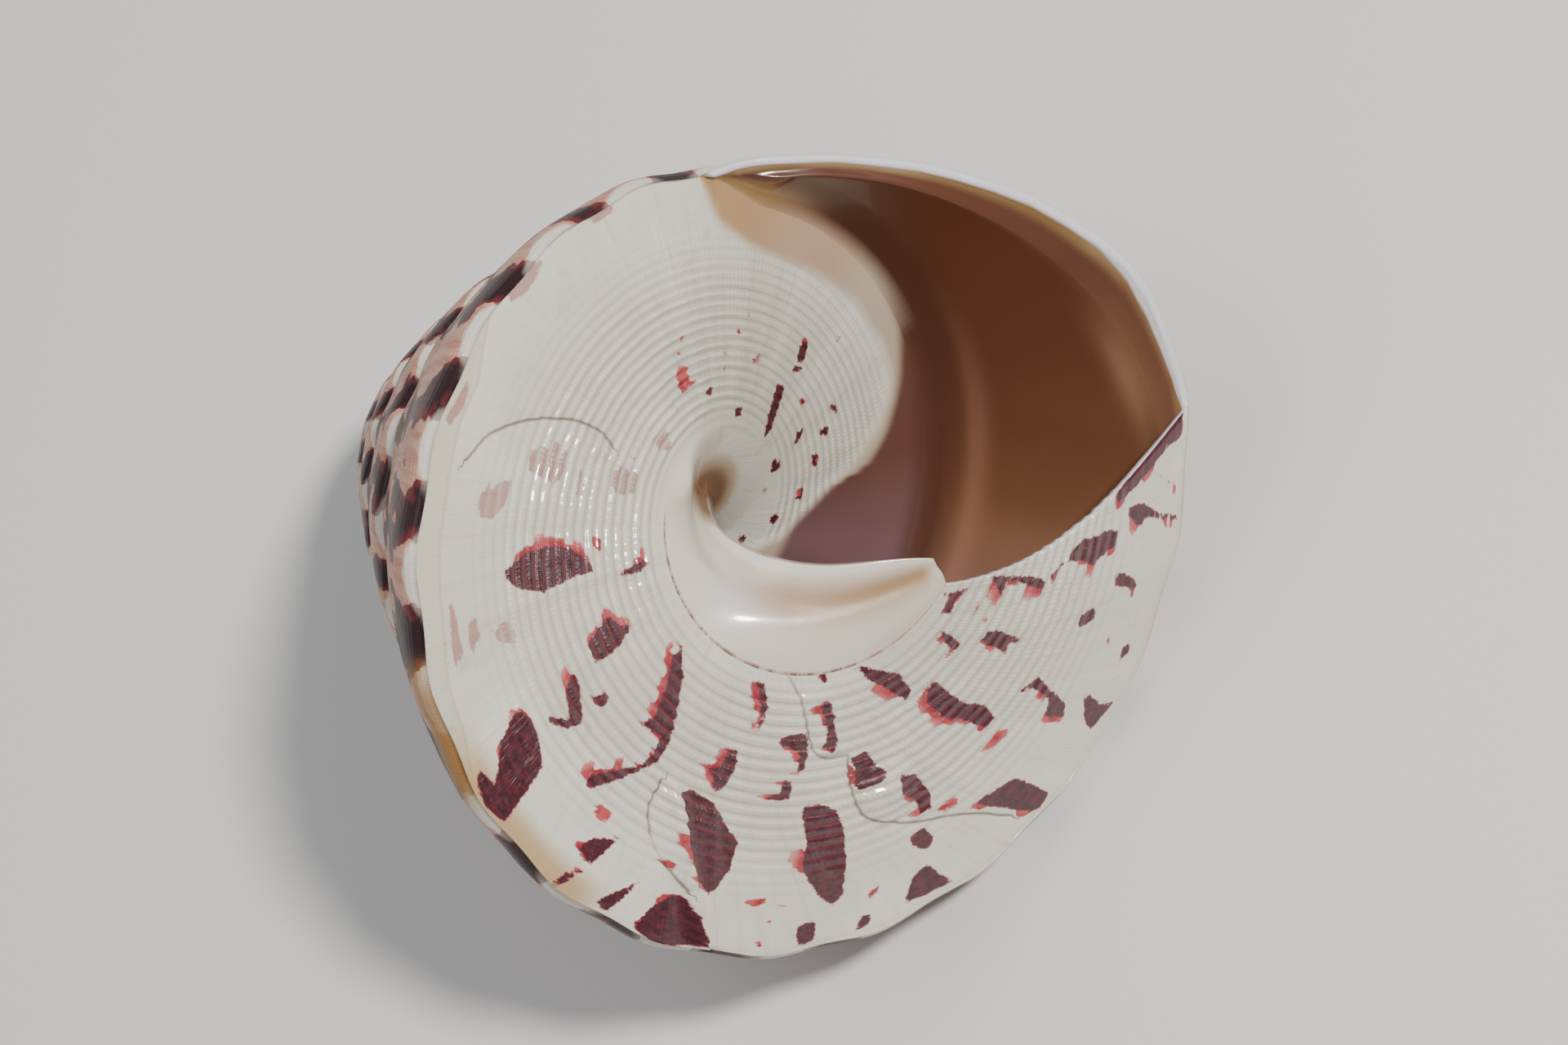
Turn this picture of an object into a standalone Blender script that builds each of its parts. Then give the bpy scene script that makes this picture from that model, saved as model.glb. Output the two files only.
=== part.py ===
# Top shell: one grown piece, lying on the flank of its spire with the base and the aperture showing
import bpy
import bmesh
import numpy as np
from mathutils import Euler, Vector

for obj in list(bpy.data.objects):
    bpy.data.objects.remove(obj, do_unlink=True)

# Growth of the shell. Angles are in degrees round the shell's axis, 0 where the outer lip meets the
# base; the shell grows toward larger angles, and -z is toward the apex.
MM = 0.001
LIP_RADIUS = 30.0 * MM
WHORL_GROWTH = 1.337
SPIRE_HEIGHT = 1.95 * LIP_RADIUS
SPIRE_CURVE = 1.29
TURNS = 8.0
EARLY_TURNS = 2.5
EARLY_TAPER = 0.030
APEX_FADE = 1.2
WHORL_BULGE = 0.073
BULGE_SKEW = 0.6
BASE_DOME = 0.055
NODULES_PER_TURN = 20
NODULE_HEIGHT = 0.32 * MM
NODULE_START = 4.5
NODULE_FADE = 1.5
NODULE_BAND = 0.10

# Mesh steps
STEP_DEG = 6.0
STEPS_PER_TURN = int(360 / STEP_DEG)
APEX_STEPS = 8
SIDE_ROWS = (0.0, 0.30, 0.60, 0.85, 1.0)
BASE_ROWS = (1.0, 0.97, 0.90, 0.80, 0.68, 0.54, 0.41, 0.30)
CENTRE_ROWS = (0.0, 0.22, 0.42, 0.64, 0.84, 1.0)

# The oblique aperture: where the outer lip leaves the suture, and how far the base lags behind it
SUTURE_ANGLE = 78.0
LIP_ANGLES = (0.0, 5.0, 10.0, 20.0, 30.0, 40.0, 50.0, 60.0, 66.0, 72.0, 78.0)
LIP_SHARES = (1.0, 0.97, 0.93, 0.85, 0.69, 0.52, 0.36, 0.23, 0.165, 0.10, 0.0)
BASAL_LAG = 30.0
LAG_CURVE = 1.15
TOOTH_ANGLE = -27.0

# The hollow: wall and glaze, how soon the rim settles into the walls, and where each wall then runs
WALL = 1.35 * MM
LIP_EDGE = 0.50 * MM
GLAZE = 0.35 * MM
WALL_RUN_IN = 12.0
GLAZE_RUN_IN = 60.0
RIM_RUN_IN = 14.0
PILLAR_RUN_IN = 50.0
UPPER_INSET = 0.14
LOWER_INSET = 0.07
SHARE_STEP = 0.02
SHOULDER_SHARE = 0.11
CORNER_SHARE = 0.96
BASAL_INSET = 0.045
BASAL_INSET_RHO = (0.5, 0.9)
PARIETAL_INSET_RHO = (0.6, 0.9)
PARIETAL_SQUEEZE = 0.5
PARIETAL_SPREAD = 0.7
HOLLOW_DEPTH = 395.0
HOLLOW_STEPS = (0.5, 3.0, 7.0, 12.0)
HOLLOW_STEP = 12.0
HOLLOW_END = 10.0
COLUMELLA_FOOT = 0.37
COLUMELLA_NARROWS = 0.13
NARROWING_ANGLES = (-150.0, -50.0)
COLUMELLA_TOP = 0.15
COLUMELLA_WAIST = 0.22

# The funnel beside the columella, the callus with its trough, and the edge of the columella from the
# funnel floor out to its tooth
FUNNEL_FLOOR = Vector((0.2, 2.2, -15.2)) * MM
FUNNEL_SHARP_ANGLES = (-272.0, -212.0)
FUNNEL_RAMP_ANGLES = (-250.0, -208.0)
FUNNEL_BRINK = 0.36
FUNNEL_STEEPNESS = 0.40
FUNNEL_CURVE = 0.80
FUNNEL_CURVE_LOSS = 0.10
FUNNEL_PULL = 0.12
FUNNEL_RIM_HEIGHT = 0.35 * MM
FUNNEL_RIM_PLACE = 0.28
FUNNEL_RIM_WIDTH = 0.14
CALLUS_SWELL = 0.70 * MM
SWELL_REACH = 1.15
TROUGH_DEPTH = 0.45 * MM
TROUGH_PLACE = 0.66
TROUGH_WIDTH = 0.13
SWELL_ANGLES = (20.0, -40.0)
EDGE_ANGLES = (-215.0, -200.0, -175.0, -150.0, -125.0, -100.0, -75.0, -50.0, -27.0)
EDGE_X = (0.2, -1.2, -1.7, -1.7, -1.2, 0.3, 2.3, 5.0, 6.9)
EDGE_Y = (2.2, 1.3, 0.8, 0.1, -0.4, -1.0, -1.3, -1.6, -2.2)
EDGE_Z = (-15.2, -13.2, -11.2, -8.8, -6.4, -4.0, -2.3, -0.9, 0.3)

# Resting attitude, found as the stable position of the lying shell
LIE_EULER = (55.46, 39.38, -8.22)


def ease(x):
    x = min(max(x, 0.0), 1.0)
    return x * x * (3.0 - 2.0 * x)


def between(value, ends):
    return ease((value - ends[0]) / (ends[1] - ends[0]))


def hump(x, width):
    return np.exp(-(x / width) ** 2)


def size_at(deg):
    turns = deg / 360.0
    early = max(0.0, -turns - EARLY_TURNS)
    scale = WHORL_GROWTH ** turns * np.exp(-EARLY_TAPER * early ** 2)
    return scale * ease((turns + TURNS) / APEX_FADE) ** 0.5


def periphery(deg, relief=1.0):
    # relief 1 on the outside with its nodules, 0 on the smooth lining
    s = size_at(deg)
    a = np.radians(deg)
    nodule = (0.5 + 0.5 * np.cos(a * NODULES_PER_TURN)) * ease((deg / 360.0 + NODULE_START) / NODULE_FADE)
    r = LIP_RADIUS * s + NODULE_HEIGHT * nodule * relief
    return np.array([r * np.cos(a), r * np.sin(a), SPIRE_HEIGHT * (s ** SPIRE_CURVE - 1.0)])


def side(deg, share, relief=1.0):
    # share 0 at the suture, 1 at the periphery
    low = periphery(deg, relief)
    high = periphery(deg - 360.0, relief)
    length = np.linalg.norm(low - high)
    a = np.radians(deg)
    out = np.array([np.cos(a), np.sin(a), 0.0])
    bulge = WHORL_BULGE * length * np.sin(np.pi * max(1.0 - share, 0.0) ** BULGE_SKEW)
    return high + (low - high) * share + out * bulge


def base(deg, rho, relief=1.0):
    s = size_at(deg)
    a = np.radians(deg)
    edge = periphery(deg, relief)
    plain = LIP_RADIUS * s
    r = plain * rho + (np.hypot(edge[0], edge[1]) - plain) * ease((rho - 1.0 + NODULE_BAND) / NODULE_BAND)
    z = edge[2] + LIP_RADIUS * s * BASE_DOME * (1.0 - rho * rho)
    return np.array([r * np.cos(a), r * np.sin(a), z])


def lip_share(deg):
    return float(np.interp(deg, LIP_ANGLES, LIP_SHARES))


def basal_angle(deg, rho):
    # Growth lines on the base trail behind the periphery, most of all at the lip
    lag = BASAL_LAG * ((1.0 - rho) / (1.0 - BASE_ROWS[-1])) ** LAG_CURVE
    return deg - lag * ease((deg + 360.0 - SUTURE_ANGLE) / (360.0 - SUTURE_ANGLE))


def edge_point(deg):
    return np.array([np.interp(deg, EDGE_ANGLES, v) for v in (EDGE_X, EDGE_Y, EDGE_Z)]) * MM


def centre(deg, q):
    # q 0 on the outline of the callus, 1 on the edge of the columella or the funnel floor
    rim = base(basal_angle(deg, BASE_ROWS[-1]), BASE_ROWS[-1])
    edge = edge_point(basal_angle(deg, BASE_ROWS[-1]))
    swell = CALLUS_SWELL * np.sin(np.pi * min(q * SWELL_REACH, 1.0))
    swell -= TROUGH_DEPTH * hump(q - TROUGH_PLACE, TROUGH_WIDTH)
    ramp = rim + (edge - rim) * q
    ramp[2] += swell * between(deg, SWELL_ANGLES)
    sharp = between(deg, FUNNEL_SHARP_ANGLES)
    drop = ease((q - FUNNEL_BRINK * sharp) / (1.0 - FUNNEL_STEEPNESS * sharp))
    drop = drop ** (FUNNEL_CURVE - FUNNEL_CURVE_LOSS * sharp)
    inward = q ** (1.0 + FUNNEL_PULL * sharp)
    funnel = rim + (np.array(FUNNEL_FLOOR) - rim) * np.array([inward, inward, drop])
    funnel[2] += FUNNEL_RIM_HEIGHT * sharp * hump(q - FUNNEL_RIM_PLACE, FUNNEL_RIM_WIDTH)
    return funnel + (ramp - funnel) * between(deg, FUNNEL_RAMP_ANGLES)


def wall_at(deg, depth):
    grown = LIP_EDGE + (WALL - LIP_EDGE) * ease(depth / WALL_RUN_IN)
    return grown * min(size_at(deg), 1.0) * min(depth / HOLLOW_STEPS[0], 1.0)


def inner_side(deg, share, depth):
    relief = 1.0 - ease(depth / WALL_RUN_IN)
    here = side(deg, share, relief)
    ahead = side(deg, share + SHARE_STEP, relief)
    a = np.radians(deg)
    out = np.array([np.cos(a), np.sin(a), 0.0])
    run = (ahead - here) @ out
    rise = (ahead - here)[2]
    inward = (out * -rise + np.array([0.0, 0.0, run])) / np.hypot(run, rise)
    return here + inward * wall_at(deg, depth)


def inner_base(deg, rho, depth):
    return base(deg, rho, 1.0 - ease(depth / WALL_RUN_IN)) - np.array([0.0, 0.0, wall_at(deg, depth)])


def parietal(deg, rho, depth):
    glaze = GLAZE * ease(depth / GLAZE_RUN_IN)
    return base(deg - 360.0, rho, 0.0) + np.array([0.0, 0.0, glaze])


def columella(deg, share, depth):
    # share 0 at the base, 1 at the previous whorl
    low = inner_base(deg, COLUMELLA_FOOT - COLUMELLA_NARROWS * between(deg, NARROWING_ANGLES), depth)
    high = parietal(deg, COLUMELLA_TOP, depth)
    mid = low + (high - low) * share
    waist = 1.0 - COLUMELLA_WAIST * np.sin(np.pi * share)
    return mid * np.array([waist, waist, 1.0])


mesh = bmesh.new()


def vertex(point):
    return mesh.verts.new(Vector([float(c) for c in point]))


def face(corners):
    ring = []
    for v in corners:
        if v not in ring:
            ring.append(v)
    if len(ring) > 2:
        mesh.faces.new(ring)


# Spire and side of every whorl; each whorl starts on the periphery of the one before
first = -int(TURNS * STEPS_PER_TURN)
lip_steps = int(SUTURE_ANGLE / STEP_DEG)
apex = vertex(periphery(first * STEP_DEG))
columns = {first: [apex] * len(SIDE_ROWS)}
for i in range(first + 1, lip_steps + 1):
    deg = i * STEP_DEG
    top = columns[i - STEPS_PER_TURN][-1] if i - STEPS_PER_TURN > first else apex
    reach = lip_share(deg) if deg > 0 else 1.0
    if reach == 0.0 or i <= first + APEX_STEPS:
        columns[i] = [top] * len(SIDE_ROWS)
    else:
        columns[i] = [top] + [vertex(side(deg, row * reach)) for row in SIDE_ROWS[1:]]
    for k in range(len(SIDE_ROWS) - 1):
        face((columns[i - 1][k], columns[i - 1][k + 1], columns[i][k + 1], columns[i][k]))

# Base, from the periphery in to the outline of the callus
start = lip_steps - STEPS_PER_TURN
base_rows = [[columns[i][-1] for i in range(start, 1)]]
for rho in BASE_ROWS[1:]:
    base_rows.append([vertex(base(basal_angle(i * STEP_DEG, rho), rho)) for i in range(start, 1)])
for upper, lower in zip(base_rows, base_rows[1:]):
    for i in range(len(upper) - 1):
        face((upper[i], upper[i + 1], lower[i + 1], lower[i]))

# Callus, columella and funnel, with every second step of the base
floor = vertex(FUNNEL_FLOOR)
outline = base_rows[-1]
picks = sorted(set(range(0, len(outline), 2)) | {len(outline) - 1})
centre_rows = [[outline[n] for n in picks]]
for q in CENTRE_ROWS[1:]:
    row = []
    for n in picks:
        deg = (start + n) * STEP_DEG
        on_floor = q == 1.0 and basal_angle(deg, BASE_ROWS[-1]) <= EDGE_ANGLES[0]
        row.append(floor if on_floor else vertex(centre(deg, q)))
    centre_rows.append(row)
second = centre_rows[1]
for i, (a, b) in enumerate(zip(picks, picks[1:])):
    face(outline[a:b + 1] + [second[i + 1], second[i]])
for upper, lower in zip(centre_rows[1:], centre_rows[2:]):
    for i in range(len(upper) - 1):
        face((upper[i], upper[i + 1], lower[i + 1], lower[i]))

# The ring round the aperture, and for each point of it the way it runs back into the hollow
ring = [(columns[lip_steps][-1], SUTURE_ANGLE, ("shoulder", 0.0, 1.0))]
for i in range(lip_steps - 1, 0, -1):
    deg = i * STEP_DEG
    share = UPPER_INSET + (1.0 - LOWER_INSET - UPPER_INSET) * (lip_steps - i) / lip_steps
    ring.append((columns[i][-1], deg, ("side", lip_share(deg), share)))
ring.append((base_rows[0][-1], 0.0, ("corner", 0.0, 0.0)))
for row, rho in zip(base_rows[1:], BASE_ROWS[1:]):
    target = rho - BASAL_INSET * between(rho, BASAL_INSET_RHO)
    ring.append((row[-1], basal_angle(0.0, rho), ("base", rho, target)))
edge_row = [row[-1] for row in centre_rows[1:-1]] + centre_rows[-1][::-1]
edge_row = list(dict.fromkeys(edge_row))
for n, v in enumerate(edge_row):
    ring.append((v, TOOTH_ANGLE, ("columella", 0.0, (n + 1) / (len(edge_row) + 1))))
back = [(row[0], centre_share) for row, centre_share in zip(centre_rows[:0:-1], CENTRE_ROWS[:0:-1])][1:]
for v, q in back:
    rho = BASE_ROWS[-1] * (1.0 - PARIETAL_SQUEEZE * q)
    deg = TOOTH_ANGLE + (SUTURE_ANGLE - TOOTH_ANGLE) * (1.0 - q) ** PARIETAL_SPREAD
    ring.append((v, deg, ("parietal", rho, rho)))
for row, rho in zip(base_rows[:0:-1], BASE_ROWS[:0:-1]):
    ring.append((row[0], SUTURE_ANGLE, ("parietal", rho, rho - LOWER_INSET * between(rho, PARIETAL_INSET_RHO))))

depths = list(HOLLOW_STEPS)
while depths[-1] + HOLLOW_STEP < HOLLOW_DEPTH:
    depths.append(depths[-1] + HOLLOW_STEP)
loops = [[entry[0] for entry in ring]]
for depth in depths:
    part = depth / HOLLOW_DEPTH
    settle = ease(depth / RIM_RUN_IN)
    near = ease(depth / PILLAR_RUN_IN)
    loop = []
    for v, deg0, (role, from_share, to_share) in ring:
        deg = deg0 + (SUTURE_ANGLE - HOLLOW_DEPTH - deg0) * part
        share = from_share + (to_share - from_share) * settle
        if role == "side":
            spot = inner_side(deg, max(share, SHARE_STEP), depth)
        elif role == "corner":
            above = inner_side(deg, 1.0 + (CORNER_SHARE - 1.0) * settle, depth)
            below = inner_base(deg, 1.0 - BASAL_INSET * settle, depth)
            spot = (above + below) / 2.0
        elif role == "shoulder":
            above = inner_side(deg, SHARE_STEP + (SHOULDER_SHARE - SHARE_STEP) * settle, depth)
            below = parietal(deg, 1.0 - LOWER_INSET * settle, depth)
            spot = (above + below) / 2.0
        elif role == "base":
            spot = inner_base(deg, share, depth)
        elif role == "columella":
            goal = columella(deg, to_share, depth)
            spot = np.array(v.co) + (goal - np.array(v.co)) * near
        else:
            goal = parietal(deg, share, depth)
            pull = near if from_share < BASE_ROWS[-1] else 1.0
            spot = np.array(v.co) + (goal - np.array(v.co)) * pull
        loop.append(vertex(spot))
    loops.append(loop)
for outer, inner in zip(loops, loops[1:]):
    for n in range(len(outer)):
        m = (n + 1) % len(outer)
        face((outer[n], outer[m], inner[m], inner[n]))
last = np.mean([np.array(v.co) for v in loops[-1]], axis=0)
turn = np.radians(-HOLLOW_END)
turned_x = last[0] * np.cos(turn) - last[1] * np.sin(turn)
turned_y = last[0] * np.sin(turn) + last[1] * np.cos(turn)
blind = vertex((turned_x, turned_y, last[2]))
for n in range(len(loops[-1])):
    face((loops[-1][n], loops[-1][(n + 1) % len(ring)], blind))

bmesh.ops.recalc_face_normals(mesh, faces=mesh.faces[:])
turned = Euler([np.radians(v) for v in LIE_EULER]).to_matrix()
for v in mesh.verts:
    v.co = turned @ v.co
low = [min(v.co[axis] for v in mesh.verts) for axis in range(3)]
high = [max(v.co[axis] for v in mesh.verts) for axis in range(3)]
ground_point = Vector(((low[0] + high[0]) / 2.0, (low[1] + high[1]) / 2.0, low[2]))
for v in mesh.verts:
    v.co -= ground_point

data = bpy.data.meshes.new("shell")
mesh.to_mesh(data)
mesh.free()
for poly in data.polygons:
    poly.use_smooth = True
shell = bpy.data.objects.new("shell", data)
group = bpy.data.collections.new("top_shell")
bpy.context.scene.collection.children.link(group)
group.objects.link(shell)

paint = bpy.data.materials.new("glossy_shell")
paint.use_nodes = True
surface = paint.node_tree.nodes["Principled BSDF"]
surface.inputs["Base Color"].default_value = (0.70, 0.66, 0.58, 1.0)
surface.inputs["Roughness"].default_value = 0.32
surface.inputs["Metallic"].default_value = 0.0
data.materials.append(paint)
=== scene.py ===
# %% [markdown]
# A top shell lies on the side of its spire, with its base and its mouth turned to the viewer.
# The animal laid the whole shell down in one piece, so it is built here as one closed mesh.
# The frame is loaded first, because it says how large the shell is and where it rests.

# %% Load the frame
import bpy
import numpy as np
from mathutils import Euler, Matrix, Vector


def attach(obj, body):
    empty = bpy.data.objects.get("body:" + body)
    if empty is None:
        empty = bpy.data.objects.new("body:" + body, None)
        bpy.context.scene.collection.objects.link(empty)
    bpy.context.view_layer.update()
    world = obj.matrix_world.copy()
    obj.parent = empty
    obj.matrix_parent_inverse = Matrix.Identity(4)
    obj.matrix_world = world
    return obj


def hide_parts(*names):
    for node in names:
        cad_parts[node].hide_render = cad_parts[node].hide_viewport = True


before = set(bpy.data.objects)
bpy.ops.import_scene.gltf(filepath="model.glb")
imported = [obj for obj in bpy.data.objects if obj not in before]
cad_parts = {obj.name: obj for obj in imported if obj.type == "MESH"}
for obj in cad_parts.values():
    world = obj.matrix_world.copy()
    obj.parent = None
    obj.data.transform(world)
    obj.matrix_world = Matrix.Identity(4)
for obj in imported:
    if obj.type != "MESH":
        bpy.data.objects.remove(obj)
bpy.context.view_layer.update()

# %% [markdown]
# A shell grows by adding shell at its lip while it turns, and every turn is larger than the last by
# the same factor. So one size law, read backward from the lip, gives every whorl of the spire.
# Angles are in degrees round the axis, 0 where the outer lip meets the base, and -z is the apex.

# %% The growth of the shell
MM = 0.001
LIP_RADIUS = 30.0
WHORL_GROWTH = 1.337
SPIRE_HEIGHT = 1.95 * LIP_RADIUS
SPIRE_CURVE = 1.29
TURNS = 8.0
TIP_TURNS = 1.2
EARLY_TURNS = 2.5
EARLY_TAPER = 0.030
AVERAGED = 6


def ease(x):
    x = np.clip(x, 0.0, 1.0)
    return x * x * (3.0 - 2.0 * x)


def bump(x, width):
    return np.exp(-(x / width) ** 2)


def size_at(deg):
    turns = deg / 360.0
    early = np.maximum(0.0, -turns - EARLY_TURNS)
    tip = ease((turns + TURNS) / TIP_TURNS) ** 0.5
    return WHORL_GROWTH ** turns * np.exp(-EARLY_TAPER * early ** 2) * tip


def smooth_curve(deg, angles, values, window):
    # Averages a line through a few given points over a window that closes at its two ends
    reach = np.maximum(np.minimum(window, np.minimum(deg - angles[0], angles[-1] - deg)), 0.0)
    steps = range(-AVERAGED, AVERAGED + 1)
    return np.mean([np.interp(deg + reach * k / AVERAGED, angles, values) for k in steps], axis=0)


radii = [round(float(LIP_RADIUS * size_at(-360.0 * k)), 1) for k in range(6)]
print("whorl radii in mm, newest first:", radii)

# %% [markdown]
# The real shell has low relief: cords round the base, lobes along the outer edge, growth ripples, the
# step of an old repair with a raised rim, healed cracks and one blister. A bump map could fake them,
# but they show in the outline and in the glints, so each is a height added along the axis. Every
# outline lists an angle and a percent of the radius in turn, the angle counted back from the lip.

# %% Cords and lobes
CALLUS_RHO = 0.30
CORD_SPACING = 0.85
CORD_HEIGHT = 0.17
NODULES_PER_TURN = 20
NODULE_HEIGHT = 0.32
NODULE_START = 4.5
KEEL_ROUND = 0.12


def cord_number(rho):
    return (rho - CALLUS_RHO) * LIP_RADIUS / CORD_SPACING


def swing(deg, waves, phase=0.0):
    return np.sin(np.radians(deg) * waves + phase)


def cords(deg, rho):
    # Strong near the callus, weak over the middle, gone before the edge, and no two quite alike
    strength = ease((rho - 0.31) / 0.05) * (1.0 - 0.80 * ease((rho - 0.64) / 0.22))
    strength = strength * (1.0 - ease((rho - 0.93) / 0.05))
    number = cord_number(rho) + 0.05 * swing(deg, 3.0) + 0.03 * swing(deg, 7.0, 1.0)
    row = np.floor(number + 0.5)
    uneven = 1.0 + 0.18 * swing(deg, 5.0, row * 2.4) - 0.14 * swing(deg, 13.0, row * -1.7)
    return CORD_HEIGHT * strength * uneven * (0.5 + 0.5 * np.cos(2.0 * np.pi * number)) ** 0.7


def nodule(deg):
    wave = 0.5 + 0.5 * np.cos(np.radians(deg) * NODULES_PER_TURN)
    return NODULE_HEIGHT * wave * ease((deg / 360.0 + NODULE_START) / 1.5)


print("cords across the base:", int(cord_number(0.93)), " lobes for each turn:", NODULES_PER_TURN)

# %% Repairs, cracks and the blister
RIPPLES = ((0.022, 83.0, 0.0), (0.028, 37.0, 2.0), (0.040, 17.0, 1.0))
LEDGE_RHO = (0.58, 0.65, 0.705, 0.79, 0.88, 0.985)
LEDGE_DEG = (-137.0, -135.5, -131.5, -127.0, -123.0, -119.0)
LEDGE_HEIGHT, LEDGE_WIDTH = 0.75, 0.42
STEP_HEIGHT, STEP_LENGTH = 0.26, 3.5
BAND_DEG = (-236.0, -226.0, -200.0, -184.0, -172.0, -163.0)
BAND_RHO = (1.0, 0.948, 0.940, 0.948, 0.965, 1.0)
BAND_DROP = 0.07
BLISTER_AT = (-83.5, 0.655)
BLISTER_RADIUS, BLISTER_HEIGHT = 2.0, 0.60
CRACK_DROP, CRACK_WIDTH = 0.09, 0.32
CRACKS = (
    (213.5, 90.5, 219, 86.5, 224.5, 77, 229, 66, 231, 56.5, 229, 51.5),
    (138.5, 65.5, 138.5, 71.5, 135.5, 77, 131.5, 81.5, 124.5, 86.5),
    (109.5, 31.5, 104.5, 36.5, 102.5, 45, 100, 51.5, 91, 52),
    (91, 52, 92, 58.5, 91, 65.5, 89.5, 70, 84.5, 73.5, 80, 77, 71, 82.5, 64.5, 93.5),
)


def flat_point(deg, rho):
    # Where a point of the base lies when it is looked at along the axis, in mm
    a = np.radians(deg)
    r = LIP_RADIUS * size_at(deg) * rho
    return np.stack([r * np.cos(a), r * np.sin(a)], axis=-1)


def flat_outline(numbers):
    pairs = np.array(numbers, float).reshape(-1, 2)
    return flat_point(-pairs[:, 0], pairs[:, 1] / 100.0)


def round_corners(path):
    # Cuts every corner at a quarter and three quarters of the pieces beside it, and keeps the two ends
    early = path[:-1] * 0.75 + path[1:] * 0.25
    late = path[:-1] * 0.25 + path[1:] * 0.75
    return np.concatenate([path[:1], np.stack([early, late], axis=1).reshape(-1, 2), path[-1:]])


def off_line(spot, a, b):
    # From the nearest point of the straight piece a to b
    step = b - a
    share = np.clip(((spot - a) @ step) / (step @ step), 0.0, 1.0)
    return spot - a - share[..., None] * step


def crack_distance(deg, rho):
    # The distance to the nearest crack in mm, above zero on its left side and below zero on its right
    spot = flat_point(deg, rho)
    best = np.full(spot.shape[:-1], 99.0)
    for numbers in CRACKS:
        path = round_corners(round_corners(flat_outline(numbers)))
        for a, b in zip(path, path[1:]):
            turned_left = (b - a)[0] * (spot - a)[..., 1] > (b - a)[1] * (spot - a)[..., 0]
            apart = np.linalg.norm(off_line(spot, a, b), axis=-1) * np.where(turned_left, 1.0, -1.0)
            best = np.where(np.abs(apart) < np.abs(best), apart, best)
    return best


def band_line(deg):
    # Where the dull band along the outer edge starts, in parts of the radius
    return np.interp(deg, BAND_DEG, BAND_RHO)


def repair(deg, rho):
    # A raised rim where the broken lip was mended, and behind it a step that dies away
    ahead = (deg - np.interp(rho, LEDGE_RHO, LEDGE_DEG)) * np.pi / 180.0 * LIP_RADIUS * size_at(deg) * rho
    step = np.where(ahead > 0.0, STEP_HEIGHT * np.exp(-np.maximum(ahead, 0.0) / STEP_LENGTH), 0.0)
    return (LEDGE_HEIGHT * bump(ahead, LEDGE_WIDTH) + step) * ease((rho - 0.60) / 0.10)


def base_relief(deg, rho, grown):
    ripple = sum(height * swing(grown, waves, phase) for height, waves, phase in RIPPLES)
    apart = np.linalg.norm(flat_point(deg, rho) - flat_point(*BLISTER_AT), axis=-1)
    blister = BLISTER_HEIGHT * bump(apart, BLISTER_RADIUS * 0.75)
    blister = blister - 0.12 * bump(apart - BLISTER_RADIUS * 1.25, 0.25)
    crack = CRACK_DROP * bump(crack_distance(deg, rho), CRACK_WIDTH)
    band = BAND_DROP * ease((rho - band_line(deg)) / 0.012) * (1.0 - ease((rho - 0.985) / 0.012))
    return cords(deg, rho) + ripple * ease((rho - 0.32) / 0.1) + repair(deg, rho) + blister - crack - band


print("cracks:", len(CRACKS), " blister in mm:", BLISTER_RADIUS * 2.0, "across,", BLISTER_HEIGHT, "high")

# %% [markdown]
# One whorl is a side wall that leans out from the seam to the outer edge, and a low domed base that
# runs from that edge in to the middle. A profile swept by a Screw modifier would repeat itself, but a
# real whorl keeps growing and changing, so both are functions of an angle and a share.

# %% Side and base of a whorl
WHORL_BULGE = 0.073
BASE_DOME = 0.055
KEEL_SHARE = 0.035
THREADS = 5.0
THREAD_HEIGHT = 0.05


def keel_at(deg):
    return KEEL_ROUND * np.minimum(size_at(deg) * 2.0, 1.0)


def periphery(deg, relief=1.0):
    s = size_at(deg)
    a = np.radians(deg)
    r = LIP_RADIUS * s + (nodule(deg) - keel_at(deg)) * relief
    return np.stack([r * np.cos(a), r * np.sin(a), SPIRE_HEIGHT * (s ** SPIRE_CURVE - 1.0)], axis=-1)


def out_at(deg):
    a = np.radians(deg)
    return np.stack([np.cos(a), np.sin(a), 0.0 * a], axis=-1)


def side(deg, share, relief=1.0):
    # share 0 at the seam with the whorl before, 1 at the outer edge
    deg, share = np.broadcast_arrays(deg, share)
    low = periphery(deg, 0.0)
    high = periphery(deg - 360.0, 0.0)
    length = np.linalg.norm(low - high, axis=-1)
    bulge = WHORL_BULGE * length * np.sin(np.pi * np.maximum(1.0 - share, 0.0) ** 0.6)
    own = nodule(deg) * ease((share - 0.55) / 0.45) + nodule(deg - 360.0) * ease((0.35 - share) / 0.35)
    keel = keel_at(deg) * (bump(1.0 - share, KEEL_SHARE) + bump(share, KEEL_SHARE) / WHORL_GROWTH)
    threads = THREAD_HEIGHT * size_at(deg) * np.sin(np.pi * np.clip(share, 0, 1))
    threads = threads * np.cos(2.0 * np.pi * share * THREADS)
    lift = bulge + (own - keel + threads) * relief
    return high + (low - high) * share[..., None] + out_at(deg) * lift[..., None]


def base(deg, rho, grown=None, relief=1.0):
    deg, rho = np.broadcast_arrays(deg, rho)
    grown = deg if grown is None else grown
    s = size_at(deg)
    edge = periphery(deg, relief)
    plain = LIP_RADIUS * s
    r = plain * rho + (np.hypot(edge[..., 0], edge[..., 1]) - plain) * ease((rho - 0.9) / 0.1)
    z = edge[..., 2] + plain * BASE_DOME * (1.0 - rho * rho)
    z = z + (base_relief(deg, rho, grown) - KEEL_ROUND * bump((1.0 - rho) * plain, 0.3)) * relief
    a = np.radians(deg)
    return np.stack([r * np.cos(a), r * np.sin(a), z], axis=-1)


print("outer edge at the lip:", periphery(np.array(0.0)), " apex:", periphery(np.array(-360.0 * TURNS)))

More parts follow.
